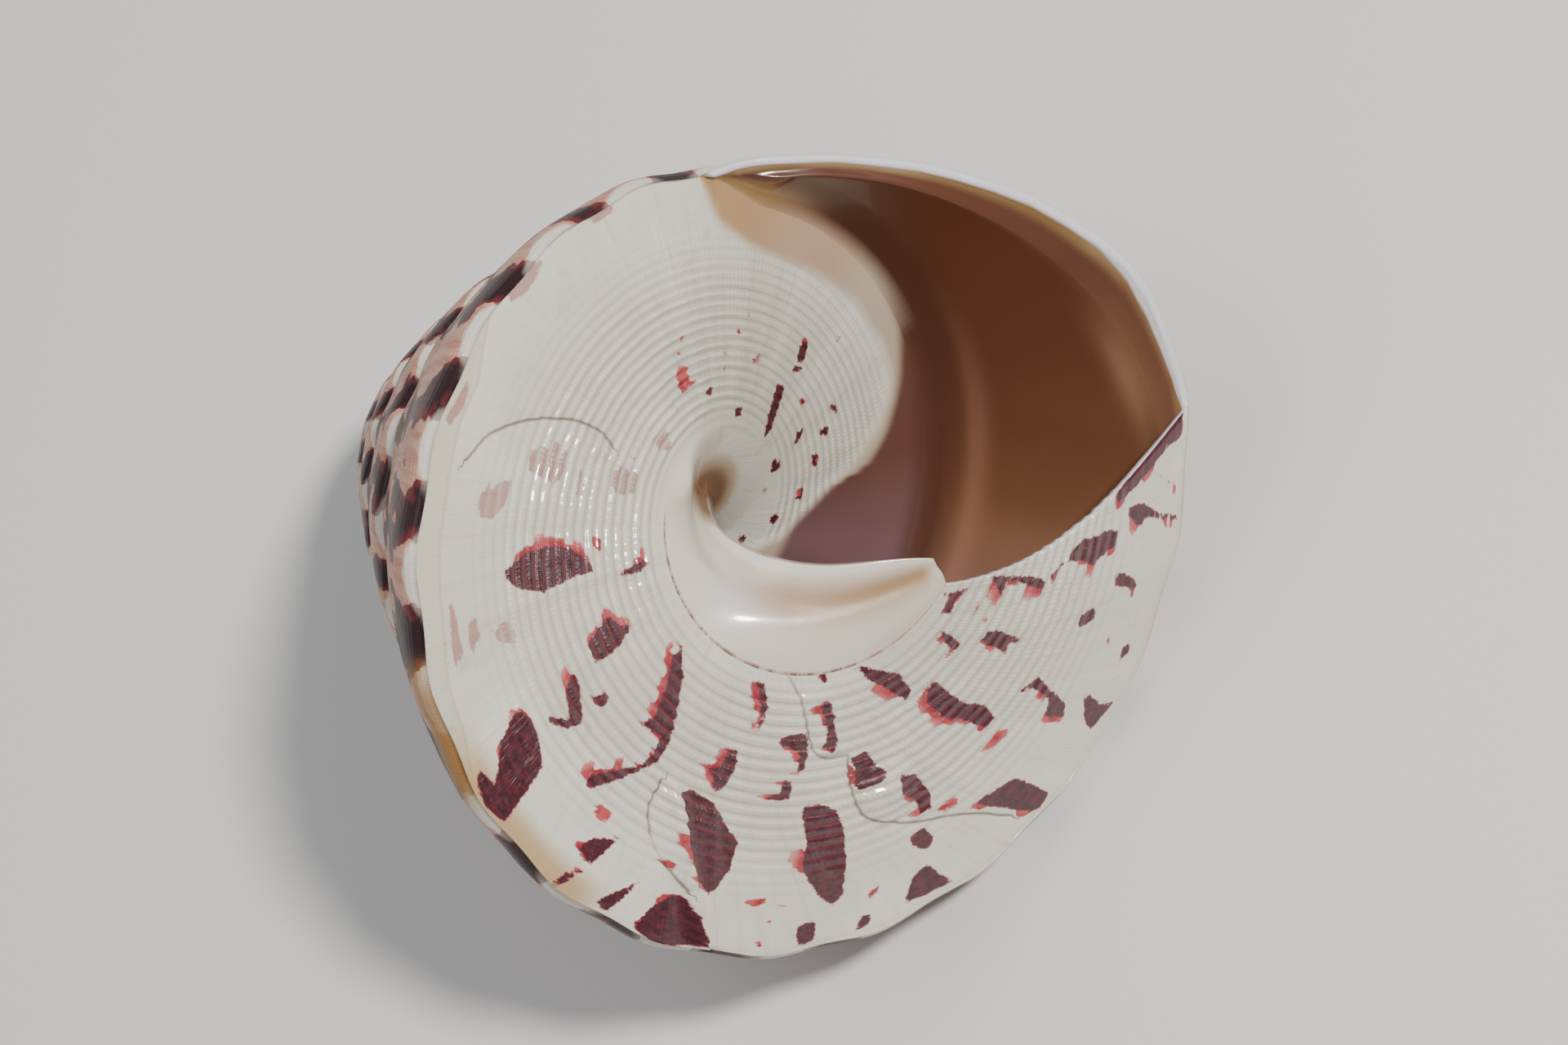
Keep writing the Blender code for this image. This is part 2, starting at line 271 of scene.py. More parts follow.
# %% [markdown]
# The mouth is cut obliquely: the outer lip leaves the seam ahead of the outer edge, and the basal
# lip falls back toward the pillar, where it ends in a blunt tooth. The callus, a smooth pad of
# enamel, covers the middle of the base and runs down into a funnel beside the pillar. Sculpting it
# would lose the seam, so the pad is a blend from its outline to a few heights along its inner edge.

# %% Lip, callus and funnel
SUTURE_ANGLE = 78.0
LIP_ANGLES = (0.0, 5.0, 10.0, 20.0, 30.0, 40.0, 50.0, 60.0, 66.0, 72.0, 78.0)
LIP_SHARES = (1.0, 0.97, 0.93, 0.85, 0.69, 0.52, 0.36, 0.23, 0.165, 0.10, 0.0)
BASAL_LAG = 30.0
TOOTH_ANGLE = -27.0
FUNNEL_FLOOR = np.array((0.2, 2.2, -15.2))
EDGE_SMOOTH = 16.0
LIP_SMOOTH = 5.0
EDGE_ANGLES = (-215.0, -200.0, -175.0, -150.0, -125.0, -100.0, -75.0, -50.0, -27.0)
EDGE_X = (0.2, -1.2, -1.7, -1.7, -1.2, 0.3, 2.3, 5.0, 6.9)
EDGE_Y = (2.2, 1.3, 0.8, 0.1, -0.4, -1.0, -1.3, -1.6, -2.2)
EDGE_Z = (-15.2, -13.2, -11.2, -8.8, -6.4, -4.0, -2.3, -0.9, 0.3)


def lip_share(deg):
    return smooth_curve(deg, LIP_ANGLES, LIP_SHARES, LIP_SMOOTH)


def basal_angle(deg, rho):
    lag = BASAL_LAG * (np.maximum(1.0 - rho, 0.0) / (1.0 - CALLUS_RHO)) ** 1.15
    return deg - lag * ease((deg + 360.0 - SUTURE_ANGLE) / (360.0 - SUTURE_ANGLE))


def edge_point(deg):
    deg = np.clip(deg, EDGE_ANGLES[0], EDGE_ANGLES[-1])
    lines = (EDGE_X, EDGE_Y, EDGE_Z)
    return np.stack([smooth_curve(deg, EDGE_ANGLES, line, EDGE_SMOOTH) for line in lines], axis=-1)


def centre(deg, q):
    # q 0 on the outline of the callus, 1 on the edge of the pillar or the floor of the funnel
    deg, q = np.broadcast_arrays(deg, q)
    rim = base(basal_angle(deg, CALLUS_RHO), CALLUS_RHO)
    edge = edge_point(basal_angle(deg, CALLUS_RHO))
    swell = 0.7 * np.sin(np.pi * np.minimum(q * 1.15, 1.0)) - 0.45 * bump(q - 0.66, 0.13)
    ramp = rim + (edge - rim) * q[..., None]
    ramp[..., 2] += swell * ease((20.0 - deg) / 60.0)
    sharp = ease((deg + 272.0) / 60.0)
    drop = ease((q - 0.36 * sharp) / (1.0 - 0.40 * sharp)) ** (0.8 - 0.1 * sharp)
    inward = q ** (1.0 + 0.12 * sharp)
    way = np.stack([inward, inward, drop], axis=-1)
    funnel = rim + (FUNNEL_FLOOR - rim) * way
    funnel[..., 2] += 0.35 * sharp * bump(q - 0.28, 0.14)
    return funnel + (ramp - funnel) * ease((deg + 250.0) / 42.0)[..., None]


# %% [markdown]
# The inside of the wall follows the outside at a distance that grows from the thin lip edge to the
# full wall. On the inner side the new whorl has no wall of its own: it coats the old base with a
# thin glaze, and it winds round the pillar. A Solidify modifier would give one thickness all over,
# so each of these surfaces gets its own function, and together they close the hollow.

# %% The walls of the hollow
WALL = 1.35
LIP_EDGE = 0.50
BARE_PATCH = (
    262, 104, 282, 98, 285, 87, 293.5, 81, 303.5, 79.5, 313.5, 80.5, 324.5, 83, 340, 84, 346, 83, 351,
    80.5, 357, 74, 363, 64.5, 370.5, 51.5, 381, 42, 389.5, 38, 400, 30, 404, 12, 330, 8, 282, 8, 262, 12,
)
GLAZE = 0.35
WALL_RUN_IN = 12.0
GLAZE_RUN_IN = 60.0
FIRST_DEPTH = 0.5
COLUMELLA_FOOT = 0.37
COLUMELLA_TOP = 0.15
OLD_CORDS = 0.60
WORN_RUN_IN = 25.0
OUT_OF_SIGHT = -420.0
LOOK_ROUND = 3.0
NO_MARK = -9.0
UNMARKED = dict(spot=NO_MARK, heart=NO_MARK, band=NO_MARK)


def outline_depth(spot, numbers, best):
    # How deep each point lies inside the outline, in mm, below zero outside it
    path = flat_outline(numbers)
    near = np.all((spot > path.min(0) - LOOK_ROUND) & (spot < path.max(0) + LOOK_ROUND), axis=-1)
    at = spot[near]
    distance = np.full(len(at), 99.0)
    inside = np.zeros(len(at), bool)
    for a, b in zip(path, np.roll(path, -1, axis=0)):
        distance = np.minimum(distance, np.linalg.norm(off_line(at, a, b), axis=-1))
        crosses = (a[1] > at[:, 1]) != (b[1] > at[:, 1])
        with np.errstate(divide="ignore", invalid="ignore"):
            where = a[0] + (at[:, 1] - a[1]) * (b - a)[0] / (b - a)[1]
        inside ^= crosses & (at[:, 0] < where)
    found = best[near]
    best[near] = np.maximum(found, np.where(inside, distance, -distance))


def bare_share(deg, rho):
    # 1 where the old base still shows in the mouth, 0 where the glaze covers it
    deg, rho = np.broadcast_arrays(deg, rho)
    inside = np.full(deg.shape, NO_MARK)
    outline_depth(flat_point(deg, rho), BARE_PATCH, inside)
    return np.where(deg < OUT_OF_SIGHT, 0.0, ease(inside + 0.5))


def wall_at(deg, depth):
    grown = LIP_EDGE + (WALL - LIP_EDGE) * ease(depth / WALL_RUN_IN)
    return grown * np.minimum(size_at(deg), 1.0) * min(depth / FIRST_DEPTH, 1.0)


def inner_side(deg, share, depth):
    relief = 1.0 - ease(depth / WALL_RUN_IN)
    here = side(deg, share, relief)
    ahead = side(deg, share + 0.02, relief) - here
    out = out_at(deg)
    run = np.sum(ahead * out, axis=-1)
    rise = ahead[..., 2]
    inward = out * -rise[..., None]
    inward[..., 2] += run
    return here + inward * (wall_at(deg, depth) / np.hypot(run, rise))[..., None]


def inner_base(deg, rho, depth):
    spot = base(deg, rho, relief=1.0 - ease(depth / WALL_RUN_IN))
    spot[..., 2] -= wall_at(deg, depth)
    return spot


def parietal(deg, rho, depth):
    old_deg = deg - 360.0
    bare = bare_share(old_deg, rho)
    spot = base(old_deg, rho, relief=0.0)
    spot[..., 2] += GLAZE * (ease(depth / GLAZE_RUN_IN) + np.minimum(depth / 4.0, 1.0)) * (1.0 - bare) / 2.0
    worn_down = 1.0 - (1.0 - OLD_CORDS) * ease(depth / WORN_RUN_IN)
    spot[..., 2] += base_relief(old_deg, rho, old_deg) * bare * worn_down
    return spot


def columella(deg, share, depth):
    # share 0 at the base, 1 at the whorl before
    low = inner_base(deg, COLUMELLA_FOOT - 0.13 * ease((deg + 150.0) / 100.0), depth)
    high = parietal(deg, COLUMELLA_TOP, depth)
    mid = low + (high - low) * share[..., None]
    mid[..., :2] *= (1.0 - 0.22 * np.sin(np.pi * share))[..., None]
    return mid


# %% [markdown]
# The grids are collected as nodes. A node is one place on the surface with all that is known there:
# which vertex it uses, its angle, its share, how deep it lies in the hollow. Two nodes may share a
# vertex, as at the seam, where the edge of one whorl is also the top of the next.

# %% Collecting points, nodes and faces
FIELDS = ("turn", "grown", "share", "cord", "side", "enamel", "callus", "pit", "inner", "depth", "old",
          "pillar", "spot", "heart", "tone", "crack", "cracked", "far", "band")
points = []
node_vertex = []
node_field = {name: [] for name in FIELDS}
node_count = 0
faces = {"outside": [], "inside": []}


def add_points(spots):
    first = sum(len(p) for p in points)
    points.append(spots.reshape(-1, 3))
    return first + np.arange(points[-1].shape[0]).reshape(spots.shape[:-1])


def add_nodes(vertices, **fields):
    global node_count
    vertices = np.asarray(vertices)
    node_vertex.append(vertices.ravel())
    for name in FIELDS:
        value = np.broadcast_to(np.asarray(fields.get(name, 0.0), float), vertices.shape)
        node_field[name].append(value.ravel())
    ids = node_count + np.arange(vertices.size).reshape(vertices.shape)
    node_count += vertices.size
    return ids


def add_grid(ids, group, flip=False):
    # ids has one row for each line across the growth and one column for each step of the growth
    quads = np.stack([ids[:-1, :-1], ids[:-1, 1:], ids[1:, 1:], ids[1:, :-1]], axis=-1).reshape(-1, 4)
    faces[group].extend((quads[:, ::-1] if flip else quads).tolist())


# %% [markdown]
# The side is one long ribbon from the apex to the lip. Every column starts on the edge of the whorl
# before, so the seam closes by itself, and past the outer edge the ribbon narrows to form the lip.

# %% The side of all whorls
STEP_DEG = 1.2
PER_TURN = 300
LIP_STEPS = 65
APEX_STEPS = 40
SIDE_SHARES = np.array((0.0, 0.03, 0.10, 0.20, 0.30, 0.41, 0.52, 0.63, 0.74, 0.85, 0.94, 0.98, 1.0))
first = -int(TURNS * PER_TURN)
side_deg = np.arange(first, LIP_STEPS + 1) * STEP_DEG
reach = np.where(side_deg > 0.0, lip_share(np.maximum(side_deg, 0.0)), 1.0)
side_share = SIDE_SHARES[:, None] * reach[None, :]
side_vertex = np.zeros(side_share.shape, int)
side_vertex[1:] = add_points(side(side_deg[None, :], side_share[1:]))
apex_vertex = side_vertex[1, 0]
for n in range(len(side_deg)):
    if n < APEX_STEPS or n == len(side_deg) - 1:
        top = apex_vertex if n < PER_TURN else side_vertex[-1, n - PER_TURN]
        side_vertex[:, n] = top
    else:
        side_vertex[0, n] = apex_vertex if n < PER_TURN else side_vertex[-1, n - PER_TURN]
side_ids = add_nodes(side_vertex, turn=side_deg[None, :], grown=side_deg[None, :], share=side_share, side=1.0)
add_grid(side_ids, "outside", flip=True)
print("nodes on the side:", side_ids.size)

# %% [markdown]
# The base is a grid from the outer edge in to the callus, fine enough across to carry each cord with
# six lines. Its first line is the edge of the side, so the two surfaces meet without a gap.

# %% The base
start = LIP_STEPS - PER_TURN
edge_deg = np.arange(start, 1) * STEP_DEG
edge_columns = slice(start - first, -first + 1)
rhos = np.concatenate([[1.0, 0.996, 0.991], np.linspace(0.985, 0.80, 20), np.linspace(0.795, CALLUS_RHO, 99)])
base_grown = np.broadcast_to(edge_deg[None, :], (len(rhos), len(edge_deg)))
base_rho = np.broadcast_to(rhos[:, None], base_grown.shape)
base_deg = basal_angle(base_grown, base_rho)
base_vertex = np.zeros(base_deg.shape, int)
base_vertex[0] = side_vertex[-1, edge_columns]
base_vertex[1:] = add_points(base(base_deg[1:], base_rho[1:], base_grown[1:]))
print("lines across the base:", len(rhos), " columns:", len(edge_deg))

# %% [markdown]
# The colour of the base is laid down by the edge of the mantle as the shell grows: dark blotches
# with a straight edge where the animal stopped making pigment, and a comb of teeth along the cords
# behind it. The blotches were followed as outlines in angle and percent of the radius.

# %% The blotches of the base
DARK = (
    (195.5, 76.5, 198.5, 71.5, 200, 64, 199.5, 58.5, 196, 53, 192.5, 52, 192, 58, 190, 66.5, 191.5, 73,
     193.5, 76.5),
    (191, 44.5, 194.5, 36.5, 192.5, 35.5, 189.5, 38.5, 189.5, 44),
    (175.5, 58.5, 180, 50.5, 176, 48, 174, 45, 171, 50, 170, 54.5, 170.5, 58.5),
    (171.5, 64.5, 167, 64.5, 161, 68.5, 162, 72.5, 165.5, 76, 166.5, 75, 163.5, 71, 169.5, 68),
    (164, 64, 163.5, 59.5, 161, 59.5, 160.5, 62.5),
    (158, 40.5, 158, 36.5, 150, 41.5, 144, 50.5, 141.5, 57.5, 142, 62, 144.5, 66.5, 148, 73, 151, 78.5,
     152.5, 75.5, 148.5, 69, 145, 65, 144, 60, 145, 56, 151.5, 57.5, 149.5, 53.5, 151.5, 49, 153, 45.5),
    (167.5, 89.5, 171, 82, 168.5, 79.5, 164.5, 79.5, 159.5, 83, 158, 91.5, 157, 98.5, 160.5, 99.5, 165,
     98.5, 166, 96, 162.5, 95),
    (145.5, 90, 144.5, 86, 140, 82, 141, 87, 142, 92.5, 143.5, 90.5),
    (145.5, 99.5, 144.5, 95.5, 142, 92.5, 144.5, 100.5),
    (138, 98, 136, 94, 132.5, 87.5, 133.5, 92, 135.5, 99.5),
    (130.5, 99, 129.5, 93.5, 126.5, 88, 124, 88.5, 120.5, 93.5, 118.5, 99, 123.5, 100, 126.5, 100.5),
    (134, 65, 132, 63, 125.5, 64, 120, 69.5, 117.5, 71.5, 117.5, 79, 120, 86.5, 123, 84, 127.5, 77, 131,
     70.5),
    (126, 51, 123.5, 50, 122.5, 54.5, 124, 60.5, 126, 61.5, 129.5, 56.5, 126.5, 55),
    (125, 33, 121, 33, 117.5, 38, 118, 43, 120, 45, 119.5, 41, 122.5, 35.5),
    (113, 47, 108.5, 44.5, 103, 44, 102.5, 48, 103.5, 53, 105.5, 55.5, 105.5, 49.5, 109, 47.5),
    (114, 61, 110, 59, 109, 56, 106.5, 56.5, 107, 61),
    (98.5, 38, 94.5, 36.5, 93.5, 42, 93.5, 48, 95.5, 50, 98.5, 48.5, 96.5, 44.5),
    (97.5, 29, 94.5, 28.5, 94.5, 32.5, 97, 32),
    (104, 63, 99.5, 62.5, 95.5, 65.5, 94.5, 71, 94.5, 79.5, 95.5, 88, 97.5, 90, 100, 86.5, 102, 82.5,
     103.5, 78, 102.5, 72.5, 103.5, 67),
    (90.5, 53, 86, 52, 85, 56, 82.5, 60, 85, 61.5, 90, 62, 91, 60, 90, 56.5),
    (80.5, 62, 76.5, 64, 75, 71, 76, 75.5, 78.5, 75.5, 78.5, 71, 81.5, 67),
    (82, 80.5, 78.5, 79, 77.5, 83.5, 79, 86, 81, 84),
    (85.5, 96.5, 83.5, 90.5, 80, 89, 79, 93, 77, 98, 81.5, 97.5),
    (69, 82, 64, 83.5, 60.5, 85.5, 59, 91, 58, 97.5, 61, 99, 62.5, 96, 65, 89.5, 67.5, 85),
    (104, 94, 101.5, 92.5, 100.5, 93.5, 100.5, 98, 102, 99, 103.5, 98.5),
    (94, 98, 92.5, 94.5, 91, 95, 91.5, 97.5, 93, 98),
    (81, 30, 73.5, 34, 68, 37.5, 67.5, 43.5, 70.5, 45.5, 74.5, 39.5, 79.5, 34.5),
    (64, 46.5, 60.5, 45.5, 59.5, 52, 58.5, 57, 55.5, 62, 56, 67.5, 59, 67, 61.5, 60, 64.5, 56.5, 66, 49.5),
    (49.5, 68, 44.5, 71, 45.5, 77, 46, 83.5, 48, 86, 50, 80.5, 47, 77.5, 47, 71.5),
    (43.5, 87, 43, 90, 43.5, 94.5, 42, 98.5, 45.5, 97.5, 47.5, 96, 46.5, 92),
    (1.6, 93, 3.2, 89, 5.2, 84, 7.4, 79, 9.4, 76, 11, 77.5, 9.2, 82.5, 7, 87.5, 4.8, 92.5, 3, 94),
    (0.5, 91, 0, 94.5, 0, 98, 4, 98, 4.5, 93.5, 2, 91.5),
    (13.5, 81.5, 12, 82, 12, 86, 13, 89, 14, 92, 15, 98.5, 16, 98.5, 15, 92, 14.5, 88, 16, 86),
    (24.5, 60, 20.5, 63.5, 16.5, 67.5, 16.5, 70.5, 15.5, 76.5, 16, 79.5, 18.5, 79, 20, 75.5, 22, 73, 21,
     69, 21, 64, 25, 61.5),
    (25, 41, 24.5, 49.5, 24.5, 55, 25, 59.5, 27.5, 59, 27, 54, 26, 50.5, 26.5, 47, 31, 47.5, 27.5, 44),
    (23.5, 81, 23, 83.5, 24.5, 89.5, 26, 89.5, 25.5, 85, 25.5, 83),
    (12, 54.5, 9, 58.5, 9, 63, 12.5, 63, 13, 59, 14.5, 56.5),
    (35.5, 33.5, 33.5, 30.5, 34, 32, 29.5, 37, 35.5, 35, 41, 36, 41.5, 34, 38, 33),
    (48, 36, 47, 39.5, 47, 44, 50.5, 44, 50.5, 41.5),
    (43.5, 48.5, 40.5, 49, 39.5, 51, 39.5, 57, 38.5, 61.5, 41.5, 57, 44, 58, 43.5, 54.5, 44.5, 51.5),
    (33, 74.5, 31, 74.5, 29.5, 77.5, 30.5, 80, 32, 78.5, 33.5, 76),
    (37, 93, 34.5, 92.5, 33.5, 94.5, 35.5, 95),
)
RED = (
    (202.5, 52, 201.5, 49, 198, 49.5, 199.5, 51.5),
    (146.5, 81.5, 145, 78, 143.5, 78, 144, 81),
    (132.5, 81.5, 129.5, 81, 127.5, 81.5, 128.5, 83.5),
    (91.5, 90, 89.5, 88, 89, 88.5, 90.5, 92),
    (113, 86.5, 110, 85.5, 109.5, 87, 112, 88),
    (107.5, 87.5, 105.5, 88, 106, 89),
    (109.5, 91.5, 108, 90.5, 108, 92.5),
    (111, 96.5, 109, 96, 109.5, 98),
    (74, 76.5, 71, 76.5, 71, 79.5),
    (60, 72, 57.5, 70.5, 55.5, 73, 57, 74.5),
    (6.5, 88, 8.5, 91.5, 10, 96.5, 11.5, 98, 10, 94.5, 8.5, 90.5),
    (13, 51, 13, 53.5, 16.5, 53.5),
    (34.5, 85, 33.5, 87, 35, 87.5),
    (34.5, 40.5, 33.5, 42, 36, 43),
    (38.5, 45.5, 37.5, 46.5, 39.5, 47),
    (263, 50.5, 267, 49.5, 268, 45.5, 262, 43.5, 262, 46.5),
    (268.5, 58, 270.5, 58, 269, 56.5),
    (195.5, 38, 196.5, 36, 190.5, 37.5, 191, 39),
)
FADED = (
    (218.5, 74, 220.5, 71, 220.5, 64, 217.5, 62.5, 213.5, 64.5, 214, 68.5, 215, 73),
    (207, 85.5, 211.5, 80, 212.5, 76, 207, 78, 204.5, 81, 205, 84),
    (221.5, 49, 225, 45.5, 223, 40.5, 218, 40.5, 215.5, 45.5, 218, 48.5),
    (190.5, 92.5, 190, 91, 183, 90.5, 181.5, 93, 186, 93),
    (187.5, 88, 188.5, 85.5, 185, 85, 182.5, 88, 184.5, 88.5),
    (185.5, 82, 185, 75.5, 181.5, 76, 183, 80.5),
    (220, 58.5, 216.5, 56, 212, 56, 212, 58),
    (240, 41.5, 243.5, 38, 243.5, 35, 238.5, 37),
    (226, 98, 224, 96, 221, 95.5, 218, 96.5, 218, 98.5, 222, 98),
    (247, 99.9, 246, 97.5, 242, 96.5, 239, 98, 240, 99.9),
    (264, 99.9, 263, 98, 259, 98, 258, 99.9),
)
BARE_SPOTS = (
    (326, 30.5, 319, 36.5, 315.5, 46.5, 320, 47.5, 322.5, 42, 326, 35),
    (274.5, 41, 278.5, 41, 281, 39, 275.5, 39),
    (293.5, 34.5, 298, 35.5, 299.5, 33, 294, 32),
    (318, 63, 321, 62.5, 322.5, 56.5, 318.5, 57.5),
    (319, 52.5, 320.5, 55, 324, 56, 322, 53),
    (299, 49, 302.5, 51.5, 302, 48),
    (291, 56.5, 293, 57.5, 292.5, 55.5),
    (330, 48.5, 334, 51, 333, 48),
    (340, 57, 344.5, 60, 347, 60, 344, 57.5),
    (347, 51.5, 348, 55, 351, 54, 350, 51.5),
    (340.5, 46, 345, 42.5, 345.5, 39.5, 341, 42.5),
    (354, 46, 355.5, 49.5, 360.5, 48, 359, 46),
    (347.5, 29.5, 346, 34, 351, 33.5, 351, 29.5),
    (371.5, 40, 366, 42, 368.5, 43.5, 372.5, 42.5),
)
DOTS = (
    (269, 57.5, 0.20, 0.5), (267, 54, 0.16, 0.5), (264.5, 49.5, 0.32, 0.5), (264, 46, 0.30, 0.5),
    (276, 40.5, 0.30, 1.0), (271, 34, 0.16, 0.0),
)
BARE_DOTS = (
    (295.5, 34, 0.27, 1.0), (291.5, 56.5, 0.20, 0.5), (286, 50, 0.20, 0.5), (286, 46, 0.16, 0.5),
    (302.5, 50, 0.22, 0.0), (319, 62, 0.27, 0.5), (320.5, 57, 0.30, 1.0), (320.5, 53, 0.20, 0.5),
    (329, 71, 0.30, 0.0), (331.5, 49, 0.26, 0.5), (345, 59, 0.26, 1.0), (342, 43, 0.30, 1.0),
    (348.5, 52, 0.27, 1.0), (345.5, 31.5, 0.30, 1.0), (357.5, 47.5, 0.32, 0.5), (369, 41.5, 0.36, 0.5),
    (360, 27, 0.22, 0.0), (381, 33.5, 0.38, 1.0), (397, 25, 0.32, 1.0), (295, 61.5, 0.15, 0.5),
    (300, 63, 0.15, 0.5), (388, 44, 0.60, 1.0),
)


def blotch_fields(deg, rho, groups, dots):
    spot = flat_point(deg, rho)
    heart = np.full(deg.shape, NO_MARK)
    tone = np.ones(deg.shape)
    for back, percent, radius, value in dots:
        apart = spot - flat_point(-back, percent / 100.0)
        mine = radius - np.hypot(apart[..., 0], apart[..., 1])
        tone = np.where(mine > heart, value, tone)
        heart = np.maximum(heart, mine)
    for outlines, value in groups:
        mine = np.full(deg.shape, NO_MARK)
        for numbers in outlines:
            outline_depth(spot, numbers, mine)
        tone = np.where(mine > heart, value, tone)
        heart = np.maximum(heart, mine)
    return heart, tone


heart, tone = blotch_fields(base_deg, base_rho, ((DARK, 1.0), (RED, 0.5), (FADED, 0.0)), DOTS)
rng = np.random.default_rng(7)
tooth_length = rng.uniform(0.0, 1.25, (40, 60)) ** 1.5
cord_row = np.floor(cord_number(base_rho) + 0.5).astype(int) % 40
tooth_cell = ((base_grown + 400.0 + cord_row * 3.0) / 9.0).astype(int) % 60
tooth = tooth_length[cord_row, tooth_cell] * (1.0 - 0.5 * ease((base_rho - 0.75) / 0.2))
step_mm = STEP_DEG * np.pi / 180.0 * LIP_RADIUS * size_at(base_deg) * base_rho
spot_depth = heart.copy()
for k in range(1, 7):
    ahead = np.full(heart.shape, NO_MARK)
    ahead[:, :-k] = heart[:, k:]
    spot_depth = np.where(tooth > k * step_mm, np.maximum(spot_depth, ahead - 0.03 * k), spot_depth)
crack = crack_distance(base_deg, base_rho)
cracked = 1.0 - ease((np.abs(crack) - 0.6) / 0.6)
base_fields = dict(turn=base_deg, grown=base_grown, share=base_rho, cord=cord_number(base_rho),
                   spot=spot_depth, heart=heart, tone=tone, crack=crack, cracked=cracked,
                   band=base_rho - band_line(base_deg))
base_ids = add_nodes(base_vertex, **base_fields)
add_grid(base_ids, "outside")
print("blotches:", len(DARK), "dark,", len(RED), "red,", len(FADED), "faded")

# %% [markdown]
# The callus is a second grid inside the base, with half as many columns because it is narrower. The
# strip where they meet takes two columns of the base to one of the callus.

# %% The callus and the funnel
PIT = np.array((0.2, 1.8, -15.2))
PIT_SIZE = (1.2, 4.2)
CALLUS_LINES = 32
picks = sorted(set(range(0, len(edge_deg), 2)) | {len(edge_deg) - 1})
callus_deg = edge_deg[picks]
callus_q = np.linspace(0.0, 1.0, CALLUS_LINES)
deg_grid, q_grid = np.meshgrid(callus_deg, callus_q)
callus_vertex = np.zeros(q_grid.shape, int)
callus_vertex[0] = base_vertex[-1, picks]
callus_vertex[1:] = add_points(centre(deg_grid[1:], q_grid[1:]))
floor_columns = basal_angle(callus_deg, CALLUS_RHO) <= EDGE_ANGLES[0]
callus_vertex[-1, floor_columns] = callus_vertex[-1, 0]


def pit_share(spots):
    return 1.0 - ease((np.linalg.norm(spots - PIT, axis=-1) - PIT_SIZE[0]) / (PIT_SIZE[1] - PIT_SIZE[0]))


callus_fields = dict(turn=basal_angle(deg_grid, CALLUS_RHO), grown=deg_grid,
                     share=CALLUS_RHO * (1.0 - q_grid), callus=q_grid,
                     pit=pit_share(centre(deg_grid, q_grid)), enamel=1.0, **UNMARKED)
callus_ids = add_nodes(callus_vertex, **callus_fields)
add_grid(callus_ids[1:], "inside")
outline_fields = dict(turn=base_deg[-1], grown=base_grown[-1], share=CALLUS_RHO, enamel=1.0, **UNMARKED)
outline_ids = add_nodes(base_vertex[-1], **outline_fields)
for n, (a, b) in enumerate(zip(picks, picks[1:])):
    faces["inside"].append(outline_ids[a:b + 1].tolist() + [int(callus_ids[1, n + 1]), int(callus_ids[1, n])])
print("nodes on the callus:", callus_ids.size)

# %% [markdown]
# The rim of the mouth is one closed ring: the outer lip, the basal lip, the edge of the pillar, and
# the line where the glaze starts on the old base. The hollow is that ring drawn back round the axis
# for more than a turn, while every point of it moves to its own wall.

# %% The rim of the mouth
COLUMELLA, PARIETAL, SIDE, CORNER, SHOULDER, BASAL = range(6)
ring = [(side_vertex[-1, -1], SUTURE_ANGLE, SHOULDER, 0.0, 1.0)]
for i in range(LIP_STEPS - 1, 0, -1):
    deg = i * STEP_DEG
    share = 0.14 + 0.79 * (LIP_STEPS - i) / LIP_STEPS
    ring.append((side_vertex[-1, i - first], deg, SIDE, float(lip_share(np.array(deg))), share))
ring.append((base_vertex[0, -1], 0.0, CORNER, 0.0, 0.0))
for n in range(1, len(rhos)):
    rho = rhos[n]
    settled = rho - 0.045 * float(ease((rho - 0.5) / 0.4))
    ring.append((base_vertex[n, -1], float(base_deg[n, -1]), BASAL, rho, settled))
edge_row = list(callus_vertex[1:-1, -1]) + list(callus_vertex[-1, ::-1])
edge_row = list(dict.fromkeys(int(v) for v in edge_row))
for n, v in enumerate(edge_row):
    ring.append((v, TOOTH_ANGLE, COLUMELLA, 0.0, (n + 1) / (len(edge_row) + 1)))
for v, q in list(zip(callus_vertex[:0:-1, 0], callus_q[:0:-1]))[1:]:
    rho = CALLUS_RHO * (1.0 - 0.5 * q)
    ring.append((v, TOOTH_ANGLE + (SUTURE_ANGLE - TOOTH_ANGLE) * (1.0 - q) ** 0.7, PARIETAL, rho, rho))
for n in range(len(rhos) - 1, 0, -1):
    rho = rhos[n]
    ring.append((base_vertex[n, 0], SUTURE_ANGLE, PARIETAL, rho, rho - 0.07 * float(ease((rho - 0.6) / 0.3))))
ring_vertex, ring_deg, ring_role, ring_from, ring_to = (np.array(column) for column in zip(*ring))
print("points round the rim:", len(ring))

# %% [markdown]
# Near the rim the loops lie close together, because the lip edge is thin and rounded. Behind it they
# are wider apart and use fewer points, since the lining is smooth. The last loop closes on itself.

# %% The hollow
HOLLOW_DEPTH = 395.0
HOLLOW_END = 10.0
SHOWN_DEPTH = 122.0
# Where the glaze turns dark, as angles and shares: partly its own colour, partly painted shadow
DARK_GLAZE_AND_SHADOW_DEG = (-372.0, -366.0, -360.0, -350.0, -340.0, -325.0, -310.0, -296.0)
DARK_GLAZE_AND_SHADOW_RHO = (0.40, 0.68, 0.76, 0.85, 0.915, 0.955, 0.975, 1.02)
DEPTHS = [0.25, 0.5, 1.2, 2.2] + list(np.arange(3.7, SHOWN_DEPTH, 1.5))
DEPTHS += list(np.arange(SHOWN_DEPTH + 4.0, HOLLOW_DEPTH - 3.0, 6.0))
all_points = np.concatenate(points)
ring_spot = all_points[ring_vertex]
keep = [n for n in range(len(ring)) if ring_role[n] in (SHOULDER, CORNER) or n % 4 == 0
        or ring_role[n] != ring_role[n - 1]]
keep_shown = [n for n in range(len(ring)) if n in set(keep) or ring_role[n] == PARIETAL or n < 16]
FILLET_REACH = 3.2
FILLET_WIDTH = 0.9


